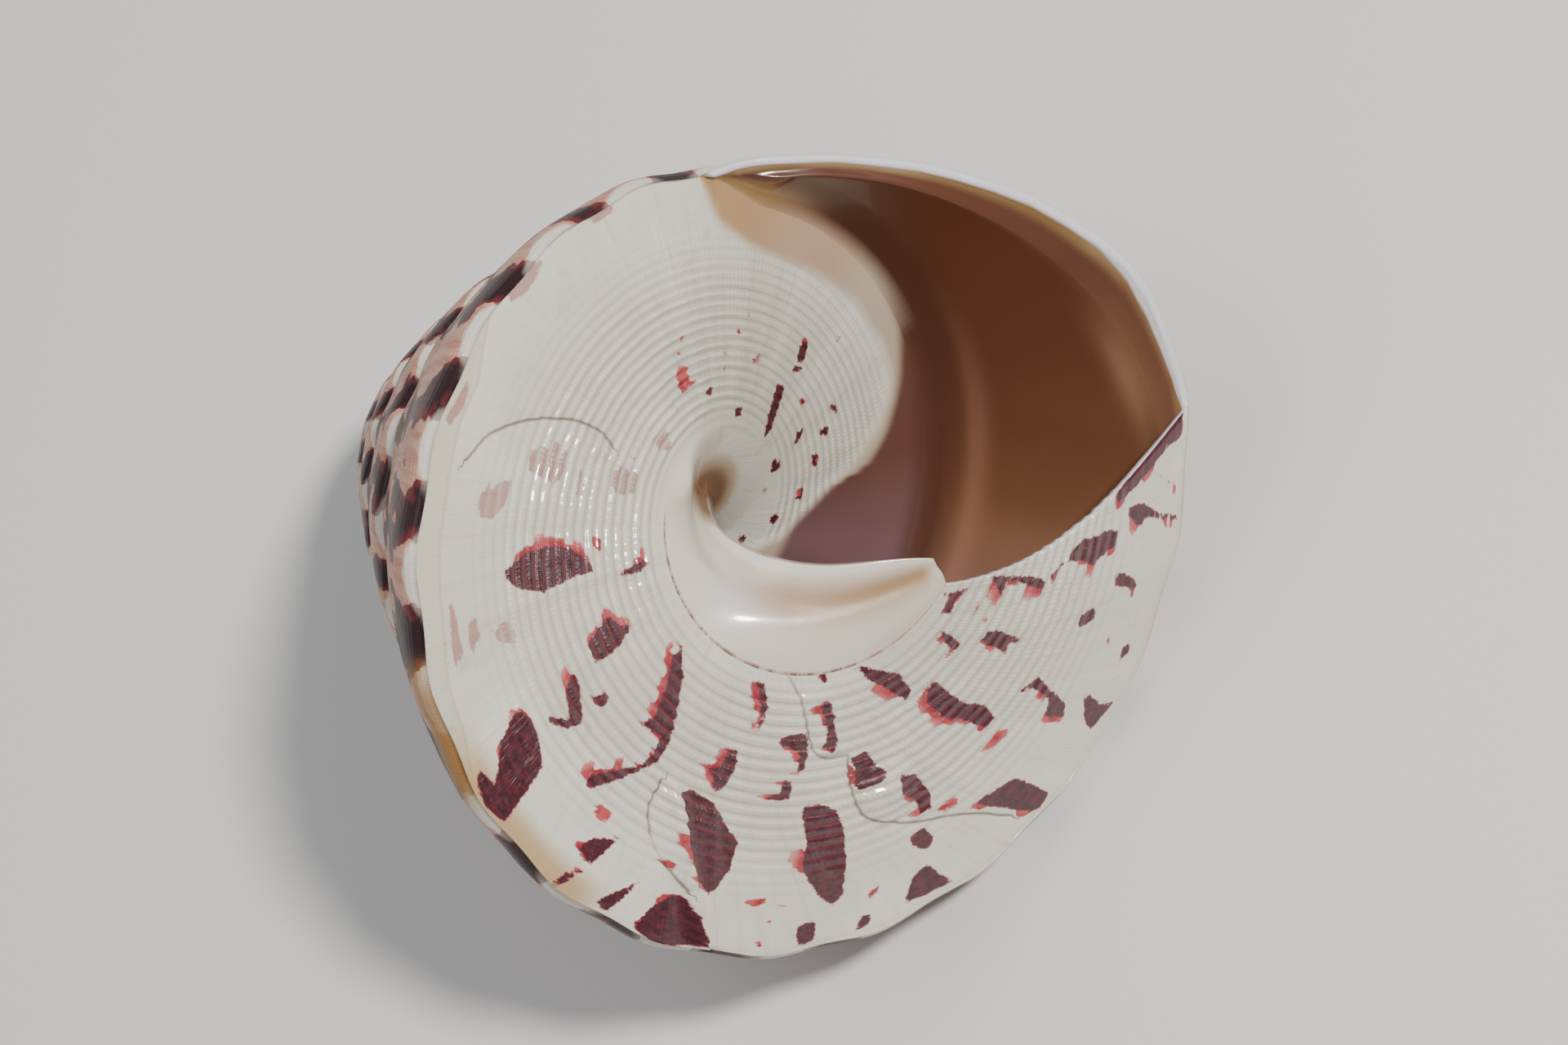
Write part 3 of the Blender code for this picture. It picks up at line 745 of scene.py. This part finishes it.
def fillet(spot, depth):
    # Rounds the inner corner where the new wall meets the old whorl, around the first point of the loop
    steps = np.linalg.norm(np.roll(spot, -1, axis=0) - spot, axis=1)
    along = np.concatenate([[0.0], np.cumsum(steps)[:-1]])
    along = np.where(along > steps.sum() / 2.0, along - steps.sum(), along)
    weight = (steps + np.roll(steps, 1)) / 2.0
    near = np.abs(along) < 2.0 * FILLET_REACH
    softened = spot.copy()
    for n in np.flatnonzero(np.abs(along) < FILLET_REACH):
        width = FILLET_WIDTH * (1.0 - abs(along[n]) / FILLET_REACH) * float(ease(depth / 20.0)) + 0.01
        pull = np.exp(-((along[near] - along[n]) / width) ** 2) * weight[near]
        softened[n] = pull @ spot[near] / pull.sum()
    return softened


def hollow_loop(depth, which):
    part = depth / HOLLOW_DEPTH
    settle = ease(depth / 14.0)
    deg = ring_deg[which] + (SUTURE_ANGLE - HOLLOW_DEPTH - ring_deg[which]) * part
    role = ring_role[which]
    to_share = ring_to[which]
    share = ring_from[which] + (to_share - ring_from[which]) * settle
    spot = ring_spot[which].copy()
    near = ease(depth / 50.0)
    m = role == SIDE
    spot[m] = inner_side(deg[m], np.maximum(share[m], 0.02), depth)
    m = role == CORNER
    spot[m] = (inner_side(deg[m], np.array(1.0 - 0.04 * settle), depth)
               + inner_base(deg[m], np.array(1.0 - 0.045 * settle), depth)) / 2.0
    m = role == SHOULDER
    spot[m] = (inner_side(deg[m], np.array(0.02 + 0.09 * settle), depth)
               + parietal(deg[m], np.array(1.0 - 0.07 * settle), depth)) / 2.0
    m = role == BASAL
    spot[m] = inner_base(deg[m], share[m], depth)
    m = role == COLUMELLA
    spot[m] += (columella(deg[m], to_share[m], depth) - spot[m]) * near
    m = role == PARIETAL
    pull = np.where(ring_from[which][m] < CALLUS_RHO, near, 1.0)
    spot[m] += (parietal(deg[m], share[m], depth) - spot[m]) * pull[:, None]
    if 0.0 < depth < SHOWN_DEPTH:
        spot = fillet(spot, depth)
    return spot, deg, share


def loop_fields(depth, which):
    which = np.array(which)
    spot, deg, share = hollow_loop(depth, which)
    role = ring_role[which]
    old = (role == PARIETAL) | (role == SHOULDER)
    turn = deg - 360.0
    mark, mark_tone = blotch_fields(turn, share, ((BARE_SPOTS, 1.0),), BARE_DOTS)
    shown = old & (turn > OUT_OF_SIGHT)
    mark = np.where(shown, mark, NO_MARK)
    inner = np.where(role == PARIETAL, 1.0 - bare_share(turn, share), 1.0)
    hole = np.where(shown, pit_share(spot), 0.0)
    # Round the hollow the share goes on past the old base: 1 at its edge, 2 at the outer edge, then back
    going_on = [1.02 + 0.0 * share, 1.0 + share, 2.0 + 0.0 * share, 3.0 - share, 2.7 + 0.0 * share]
    parts = [role == part for part in (SHOULDER, SIDE, CORNER, BASAL, COLUMELLA)]
    round_share = np.select(parts, going_on, share)
    # 1 past that line, where the glaze is painted dark: partly its own colour, partly painted shadow
    far = np.where(old, ease((share - np.interp(turn, DARK_GLAZE_AND_SHADOW_DEG, DARK_GLAZE_AND_SHADOW_RHO)) / 0.06 + 0.5), 1.0)
    return spot, dict(turn=turn, grown=turn, share=round_share, cord=cord_number(share), depth=depth, old=old,
                      pillar=role == COLUMELLA, inner=inner, pit=hole, spot=mark, heart=mark, tone=mark_tone,
                      band=NO_MARK, far=far)


everyone = list(range(len(ring)))
loops = [(everyone, add_nodes(ring_vertex, **loop_fields(0.0, everyone)[1]))]
for depth in DEPTHS:
    which = everyone if depth <= FIRST_DEPTH else keep_shown if depth < SHOWN_DEPTH else keep
    spot, fields = loop_fields(depth, which)
    loops.append((which, add_nodes(add_points(spot), **fields)))
for (outer_which, outer), (inner_which, inner) in zip(loops, loops[1:]):
    place_of = {n: k for k, n in enumerate(outer_which)}
    for k, n in enumerate(inner_which):
        following = (k + 1) % len(inner_which)
        a, b = place_of[n], place_of[inner_which[following]]
        span = list(range(a, b + 1)) if b > a else list(range(a, len(outer))) + list(range(0, b + 1))
        back = [int(outer[j]) for j in reversed(span)]
        faces["inside"].append([int(inner[k]), int(inner[following])] + back)
middle = spot.mean(axis=0)
turn_back = np.radians(-HOLLOW_END)
blind = np.array([middle[0] * np.cos(turn_back) - middle[1] * np.sin(turn_back),
                  middle[0] * np.sin(turn_back) + middle[1] * np.cos(turn_back), middle[2]])
blind_id = int(add_nodes(add_points(blind[None, :]), depth=HOLLOW_DEPTH, inner=1.0, **UNMARKED)[0])
last_ids = loops[-1][1]
for n in range(len(keep)):
    faces["inside"].append([blind_id, int(last_ids[(n + 1) % len(keep)]), int(last_ids[n])])
print("loops in the hollow:", len(loops), " points in each:", len(keep_shown), "then", len(keep))

# %% [markdown]
# All grids become one mesh. It is turned into the attitude in which a shell of this form comes to
# rest on its spire, and set down so that the lowest point touches the floor.

# %% The mesh
LIE_EULER = (55.46, 39.38, -8.22)
GROUND_POINT = np.array((-0.3616, 20.0622, -29.3161))
turned = np.array(Euler([np.radians(v) for v in LIE_EULER]).to_matrix())
vertices = (np.concatenate(points) @ turned.T - GROUND_POINT) * MM
vertex_of = np.concatenate(node_vertex)
fields_of = {name: np.concatenate(parts) for name, parts in node_field.items()}
polygons = []
corner_nodes = []
for group in ("outside", "inside"):
    for corners in faces[group]:
        kept_corners = [c for k, c in enumerate(corners) if vertex_of[c] != vertex_of[corners[k - 1]]]
        if len({int(vertex_of[c]) for c in kept_corners}) < max(len(kept_corners), 3):
            continue
        polygons.append([int(vertex_of[c]) for c in kept_corners])
        corner_nodes.extend(kept_corners)
data = bpy.data.meshes.new("top_shell")
data.from_pydata(vertices.tolist(), [], polygons)
for name in FIELDS:
    layer = data.attributes.new(name, "FLOAT", "CORNER")
    layer.data.foreach_set("value", fields_of[name][corner_nodes].astype(np.float32))
data.polygons.foreach_set("use_smooth", [True] * len(polygons))
data.update()
shell = bpy.data.objects.new("top_shell", data)
bpy.context.scene.collection.objects.link(shell)
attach(shell, "root")
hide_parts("shell")
print("triangles:", sum(len(p) - 2 for p in polygons))
print("extent in mm:", (vertices.min(0) / MM).round(2), (vertices.max(0) / MM).round(2))

# %% [markdown]
# The shell is calcium carbonate with a thin natural gloss. Its colours are worked out from the
# places noted on the surface, so the shader sums are written as plain expressions. One small class
# wraps a socket and turns each sum into the node that does it.

# %% A small language for the surface
class Wire:
    def __init__(self, tree, socket):
        self.tree = tree
        self.socket = socket

    def node(self, kind, settings, sockets, out=0):
        made = self.tree.nodes.new(kind)
        for name, value in settings.items():
            setattr(made, name, value)
        for name, value in sockets.items():
            if isinstance(value, Wire):
                self.tree.links.new(value.socket, made.inputs[name])
            else:
                made.inputs[name].default_value = value
        return Wire(self.tree, made.outputs[out])

    def math(self, operation, *values):
        return self.node("ShaderNodeMath", {"operation": operation}, dict(enumerate(values)))

    def __add__(self, other):
        return self.math("ADD", self, other)

    def __radd__(self, other):
        return self.math("ADD", other, self)

    def __sub__(self, other):
        return self.math("SUBTRACT", self, other)

    def __rsub__(self, other):
        return self.math("SUBTRACT", other, self)

    def __mul__(self, other):
        return self.math("MULTIPLY", self, other)

    def __rmul__(self, other):
        return self.math("MULTIPLY", other, self)

    def __truediv__(self, other):
        return self.math("DIVIDE", self, other)

    def __neg__(self):
        return self.math("MULTIPLY", self, -1.0)

    def largest(self, other):
        return self.math("MAXIMUM", self, other)

    def wave(self):
        # One full wave for each whole number, 1 on the whole numbers and 0 halfway between
        return self.math("COSINE", self * (2.0 * np.pi)) * 0.5 + 0.5

    def rises(self, low, high):
        ends = {"Value": self, "From Min": low, "From Max": high}
        return self.node("ShaderNodeMapRange", {"interpolation_type": "SMOOTHSTEP"}, ends)

    def falls(self, low, high):
        return 1.0 - self.rises(low, high)

    def near(self, place, width):
        off = (self - place) / width
        return self.math("EXPONENT", -(off * off))

    def blend(self, first, second):
        return self.node("ShaderNodeMix", {"data_type": "RGBA"}, {0: self, 6: first, 7: second}, 2)

    def noise(self, scale, detail=2.0, rough=0.5):
        sockets = {"Vector": self, "Scale": scale, "Detail": detail, "Roughness": rough}
        return self.node("ShaderNodeTexNoise", {}, sockets)


def place(x, y, z=0.0):
    return x.node("ShaderNodeCombineXYZ", {}, {0: x, 1: y, 2: z})


def colour(r, g, b):
    # Eye colours from 0 to 255, turned into light
    levels = [c / 255.0 for c in (r, g, b)]
    return tuple(c / 12.92 if c < 0.04045 else ((c + 0.055) / 1.055) ** 2.4 for c in levels) + (1.0,)


def new_surface(name):
    material = bpy.data.materials.new(name)
    material.use_nodes = True
    tree = material.node_tree
    shader = tree.nodes["Principled BSDF"]
    start_wire = Wire(tree, None)
    notes = {n: start_wire.node("ShaderNodeAttribute", {"attribute_name": n}, {}, 2) for n in FIELDS}
    notes["object"] = start_wire.node("ShaderNodeTexCoord", {}, {}, 3)
    return material, shader, notes


def connect(shader, wire, name):
    wire.tree.links.new(wire.socket, shader.inputs[name])


# %% [markdown]
# On the base the ground colour is ivory, a little grey and warm in streaks along the growth lines.
# Grooves between the cords are darkened as painted shade. The blotches take their sharp edge
# from the outlines and a fine ragged edge from noise stretched along the cords.

# %% The colours of the base
paint, shader, at = new_surface("glossy shell")
flow = place(at["turn"] * 0.30, at["cord"])
growth = place(at["grown"] * 0.9, at["share"] * 2.0, at["side"] * 5.0)
coarse = at["object"].noise(90.0, 3.0)
fine = at["object"].noise(900.0, 3.0)
streak = growth.noise(0.55, 4.0, 0.6)
fine_streak = growth.noise(2.6, 3.0, 0.6)
along_cord = flow.noise(1.1, 3.0)
ragged = place(at["turn"] * 0.45, at["cord"] * 2.2).noise(1.2, 3.0, 0.65)
on_base = 1.0 - at["side"]
cord_wave = at["cord"].wave()
cord_strength = at["share"].rises(0.30, 0.36) * at["share"].falls(0.66, 0.92) * on_base
groove = (1.0 - cord_wave).rises(0.40, 1.0) * cord_strength

ivory = coarse.rises(0.35, 0.65).blend(colour(224, 219, 207), colour(209, 205, 190))
ivory = (streak.rises(0.52, 0.70) * 0.40).blend(ivory, colour(196, 182, 160))
ivory = (fine_streak.rises(0.50, 0.75) * 0.30).blend(ivory, colour(186, 180, 164))
# Painted shade: the grooves between the cords are darkened towards grey
ivory = (groove * 0.50).blend(ivory, colour(168, 158, 142))
banded = at["band"].rises(-0.004, 0.004) * at["band"].falls(0.2, 0.3)
ivory = (banded * at["share"].falls(0.994, 1.0)).blend(ivory, colour(202, 197, 177))
ivory = (banded * fine.rises(0.66, 0.74) * 0.5).blend(ivory, colour(150, 128, 100))
# Painted shadow: a thin darker line along the small step where the dull band starts
ivory = (at["band"].near(0.0, 0.004) * 0.35).blend(ivory, colour(150, 140, 120))
ochre_part = at["turn"].rises(-176.0, -164.0) * at["turn"].falls(-142.0, -134.0)
ivory = (at["share"].rises(0.91, 0.97) * ochre_part * 0.85).blend(ivory, colour(182, 146, 92))

ragged_depth = at["spot"] + (ragged - 0.5) * 0.50
painted = ragged_depth.rises(-0.06, 0.08)
core = (at["heart"] + (ragged - 0.5) * 0.60).rises(-0.06, 0.12)
dark_tone = at["tone"].rises(0.7, 0.8)
faded_tone = at["tone"].falls(0.2, 0.3)
maroon = ragged.rises(0.35, 0.65).blend(colour(52, 16, 26), colour(88, 28, 40))
# The dark blotches turn grey-mauve along the cord crests, broken by noise along the cords
crest_grey = (cord_wave.rises(0.35, 0.8) * cord_strength + 0.2) * along_cord.rises(0.42, 0.62)
maroon = (crest_grey * 0.45).blend(maroon, colour(78, 62, 72))
rim_red = fine.rises(0.4, 0.6).blend(colour(158, 40, 50), colour(190, 76, 80))
rim_red = at["heart"].falls(-0.9, -0.2).blend(rim_red, colour(206, 134, 128))
pigment = (core * dark_tone).blend(rim_red, maroon)
pigment = (groove * 0.20).blend(pigment, colour(150, 84, 84))
pigment = faded_tone.blend(pigment, colour(164, 108, 101))
base_colour = (painted * (1.0 - faded_tone * (groove * 0.6 + streak * 0.5))).blend(ivory, pigment)

# %% [markdown]
# The side of each whorl is a pinkish tan with slanting flames of dark maroon. They follow the lobes
# of the outer edge, but no two are alike, so a slow noise bends, widens and breaks them.

# %% The colours of the side
LOBE_DEG = 360.0 / NODULES_PER_TURN
slant = at["turn"] / LOBE_DEG - 0.117 + at["share"] * 0.5
flame_wobble = place(at["turn"] * 0.12, at["share"] * 3.0).noise(1.1, 3.0)
flame_size = place(at["turn"] / LOBE_DEG, at["share"] * 1.2).noise(0.8, 2.0)
broken = place(at["turn"] * 0.35, at["share"] * 14.0).noise(1.2, 3.0)
near_edge = at["share"].rises(0.70, 0.90)
swing = (flame_wobble - 0.5) * (1.5 - near_edge * 0.9)
flame = (slant + swing).wave() + (flame_size - 0.5) * (1.5 - near_edge * 0.9) + (broken - 0.5) * 0.5
flame = flame + near_edge * 0.04
flame_part = flame.rises(0.50, 0.58) * at["share"].rises(0.02, 0.12)
ground = streak.rises(0.40, 0.62).blend(colour(210, 158, 132), colour(188, 122, 98))
ground = (fine_streak.rises(0.45, 0.70) * 0.4).blend(ground, colour(216, 192, 170))
edge_wave = (at["turn"] / LOBE_DEG + 0.383).wave()
scallop = (at["share"] - edge_wave * 0.10 + (broken - 0.5) * 0.06).rises(0.905, 0.945)
flame_heart = (flame + (broken - 0.5) * 0.5).rises(0.60, 0.92)
flame_colour = flame_heart.blend(colour(104, 34, 40), colour(42, 16, 22))
side_colour = flame_part.blend(ground, flame_colour)
side_colour = (scallop * (1.0 - flame_part * 0.6)).blend(side_colour, colour(222, 216, 202))
tawny = at["turn"].rises(-186.0, -178.0) * at["turn"].falls(-166.0, -158.0) * at["share"].rises(0.80, 0.90)
side_colour = (tawny * 0.85).blend(side_colour, colour(170, 124, 66))
# Painted shade: darker brown in the crease along the seam with the whorl before
side_colour = (at["share"].falls(0.0, 0.05) * 0.8).blend(side_colour, colour(92, 72, 52))
early = at["turn"].falls(-2000.0, -1000.0)
side_colour = (early * 0.5).blend(side_colour, colour(196, 170, 150))

# %% [markdown]
# The callus is smooth cream enamel with a warm trough beside the pillar, and the funnel is painted
# darker brown towards its floor, mostly as painted shade.
# The rim of the lip is white tinged with lilac, then a golden line, and the lining behind it is
# brown pearl, painted darker under the outer lip as shade and lighter towards the basal lip as light.
# The glaze on the old base starts golden and turns pinkish, then beige; past a line it is dark,
# partly its own colour and partly painted shadow.

# %% The enamel and the lining
enamel = coarse.rises(0.38, 0.62).blend(colour(220, 210, 194), colour(208, 196, 180))
pearly = at["turn"].near(-150.0, 25.0) * at["callus"].near(0.45, 0.25)
enamel = (pearly * 0.6).blend(enamel, colour(214, 212, 218))
trough = at["callus"].near(0.66, 0.20) * at["turn"].rises(-170.0, -110.0) * at["turn"].falls(-42.0, -30.0)
trough_colour = at["turn"].rises(-110.0, -60.0).blend(colour(180, 148, 120), colour(160, 120, 76))
enamel = (trough * 0.90).blend(enamel, trough_colour)
enamel = (at["callus"].rises(0.84, 0.94) * 0.8).blend(enamel, colour(232, 226, 216))
dots = place(at["turn"] * 0.16, 0.0).noise(1.0, 3.0, 0.7).rises(0.42, 0.56)
outline = at["callus"].falls(0.012, 0.045) * at["turn"].rises(-225.0, -200.0)
outline_colour = coarse.rises(0.45, 0.55).blend(colour(110, 66, 46), colour(166, 74, 64))
enamel = (outline * (dots * 0.6 + 0.3)).blend(enamel, outline_colour)

golden = coarse.rises(0.4, 0.6).blend(colour(142, 110, 66), colour(162, 134, 96))
soft_change = place(at["turn"] * 0.05, at["share"] * 1.5).noise(0.8, 1.0, 0.4)
# Brown pearl, painted darker near the outer lip as its shade and lighter, pinker towards the basal lip as
# painted light
deep = at["turn"].falls(-388.0, -346.0).blend(colour(98, 58, 40), colour(118, 82, 56))
deep = (at["turn"].falls(-394.0, -374.0) * 0.6).blend(deep, colour(138, 96, 82))
deep = (soft_change.rises(0.35, 0.65) * 0.35).blend(deep, colour(80, 46, 32))
deep = (at["share"].near(1.17, 0.05) * at["depth"].rises(45.0, 75.0) * 0.5).blend(deep, colour(146, 104, 84))
# Painted shade: darker in the inner corner where the new wall meets the old whorl, near the mouth
deep = (at["share"].near(1.05, 0.13) * at["depth"].falls(60.0, 90.0) * 0.8).blend(deep, colour(78, 48, 36))
# Inside the corner of the outer lip: a paler zone painted as light and a dark spot painted as the lip's
# shadow
corner_part = at["share"].near(1.78, 0.14) * at["turn"].near(-354.0, 11.0)
deep = (corner_part * at["depth"].near(15.0, 8.0) * 0.6).blend(deep, colour(160, 122, 96))
deep = (corner_part * at["depth"].near(8.0, 2.5) * 0.5).blend(deep, colour(96, 58, 22))
lining = at["depth"].rises(1.8, 5.6).blend(golden, deep)
rim_wide = at["turn"].rises(-361.0, -357.0) * at["turn"].falls(-346.0, -334.0) * 1.6
lining = (at["depth"] - rim_wide).rises(1.0, 2.0).blend(colour(216, 209, 214), lining)
glaze = at["turn"].falls(-312.0, -290.0).blend(colour(166, 130, 86), colour(176, 146, 122))
glaze = at["turn"].falls(-332.0, -312.0).blend(glaze, colour(186, 168, 148))
# The dark part of the glaze: its own purple-brown colour, with painted shadow in it
dark_glaze_and_shade_colour = at["turn"].falls(-392.0, -362.0).blend(colour(108, 74, 66), colour(128, 98, 104))
dark_glaze_and_shade_colour = (soft_change.rises(0.35, 0.65) * 0.4).blend(dark_glaze_and_shade_colour, colour(92, 58, 48))
# Painted shade: darker where the old outer edge rounds away from the light
dark_glaze_and_shade_colour = at["share"].rises(0.84, 0.98).blend(dark_glaze_and_shade_colour, colour(84, 52, 40))
glaze = at["far"].blend(glaze, dark_glaze_and_shade_colour)
post = at["depth"].rises(2.0, 40.0).blend(enamel, colour(132, 92, 66))
wall = at["old"].blend(lining, glaze)
wall = at["pillar"].blend(wall, post)

# %% [markdown]
# Wear is what makes a beach shell look real: dirt in the cracks, a dull band along the edge, fine
# threads and beads on the cords. They go over the colours at the end, so they cross every part.
# The funnel is darkened here as well, with a brown that is mostly painted shade.

# %% Wear, gloss, the painted shade of the funnel and the last coat
skin = at["side"].blend(base_colour, side_colour)
line = (at["crack"] + (fine - 0.5) * 0.16).near(0.0, 0.10) * at["cracked"] * coarse.rises(0.25, 0.5)
skin = (line * 0.8).blend(skin, colour(92, 68, 50))
dirt = at["object"].noise(260.0, 5.0, 0.7).rises(0.60, 0.74)
skin = (dirt * 0.25).blend(skin, colour(128, 112, 94))
skin = at["enamel"].blend(skin, enamel)
skin = at["inner"].blend(skin, wall)
# Painted shade with a brown tint: the funnel grows darker towards its floor
skin = (at["pit"].rises(0.02, 0.45) * 0.8).blend(skin, colour(170, 144, 114))
skin = (at["pit"].rises(0.35, 0.95) * 0.9).blend(skin, colour(112, 78, 54))
connect(shader, skin, "Base Color")
plain = 1.0 - at["inner"].largest(at["enamel"])
dull = at["side"] * 0.45 + banded * on_base * 0.35
connect(shader, 0.24 + dull * 0.6 + dirt * 0.2 + coarse * 0.10, "Roughness")
striae = (at["cord"] * 3.0).wave() * cord_strength * 0.25 + (at["share"] * 26.0).wave() * at["side"] * 0.5
beads = (at["grown"] * 0.85 + fine_streak * 1.2).wave() * cord_wave * cord_strength
lines = fine_streak * 0.9 + growth.noise(7.0, 2.0) * 0.5 + beads * 0.5
height = (striae + lines) * plain + fine * 0.15 - line * 1.5
shader_bump = height.node("ShaderNodeBump", {}, {"Height": height, "Distance": 0.00006, "Strength": 0.8})
connect(shader, shader_bump, "Normal")
connect(shader, 0.60 - dull, "Coat Weight")
shader.inputs["Coat Roughness"].default_value = 0.10
shader.inputs["Specular IOR Level"].default_value = 0.35
data.materials.append(paint)

# %% [markdown]
# The picture is taken from above the base with a long lens. The camera was set against the spiral
# itself: its outline, the mouth and the callus all fall where they are seen. The key light stands
# close beside the lens, which puts the glints on the cords at the left, a wide weak one fills from
# the left, and the floor is plain and pale.

# %% Floor, light and camera
CAMERA_AT = (0.0, -0.13256, 0.25561)
CAMERA_TURN = (17.925, 21.269, -48.277)
camera = bpy.data.objects.new("camera", bpy.data.cameras.new("camera"))
camera.data.lens = 90.0
camera.data.sensor_width = 36.0
camera.data.clip_start = 0.01
camera.location = CAMERA_AT
camera.rotation_euler = [np.radians(v) for v in CAMERA_TURN]
bpy.context.scene.collection.objects.link(camera)
bpy.context.scene.camera = camera


def soft_light(name, right, up, toward, size, power, tint):
    # Placed from the middle of the shell along the directions of the picture, in metres
    middle = Vector((0.0, 0.0, 0.02))
    spot = middle + camera.rotation_euler.to_matrix() @ Vector((right, up, toward))
    lamp = bpy.data.objects.new(name, bpy.data.lights.new(name, "AREA"))
    lamp.data.shape = "DISK"
    lamp.data.size = size
    lamp.data.energy = power
    lamp.data.color = tint
    lamp.location = spot
    lamp.rotation_euler = (middle - spot).to_track_quat("-Z", "Y").to_euler()
    bpy.context.scene.collection.objects.link(lamp)


soft_light("key", 0.12, 0.13, 0.46, 0.06, 2.9, (1.0, 0.97, 0.92))
soft_light("fill", -0.32, 0.12, 0.30, 0.35, 0.7, (0.93, 0.96, 1.0))
world = bpy.data.worlds.new("studio")
world.use_nodes = True
world.node_tree.nodes["Background"].inputs["Color"].default_value = (0.90, 0.92, 0.95, 1.0)
world.node_tree.nodes["Background"].inputs["Strength"].default_value = 0.28
bpy.context.scene.world = world
floor_mesh = bpy.data.meshes.new("floor")
FLOOR_REACH = 3.0
floor_corners = [(x * FLOOR_REACH, y * FLOOR_REACH, 0.0) for x, y in ((-1, -1), (1, -1), (1, 1), (-1, 1))]
floor_mesh.from_pydata(floor_corners, [], [(0, 1, 2, 3)])
floor = bpy.data.objects.new("floor", floor_mesh)
bpy.context.scene.collection.objects.link(floor)
paper = bpy.data.materials.new("pale floor")
paper.use_nodes = True
paper.node_tree.nodes["Principled BSDF"].inputs["Base Color"].default_value = (0.72, 0.71, 0.69, 1.0)
paper.node_tree.nodes["Principled BSDF"].inputs["Roughness"].default_value = 0.85
floor_mesh.materials.append(paper)
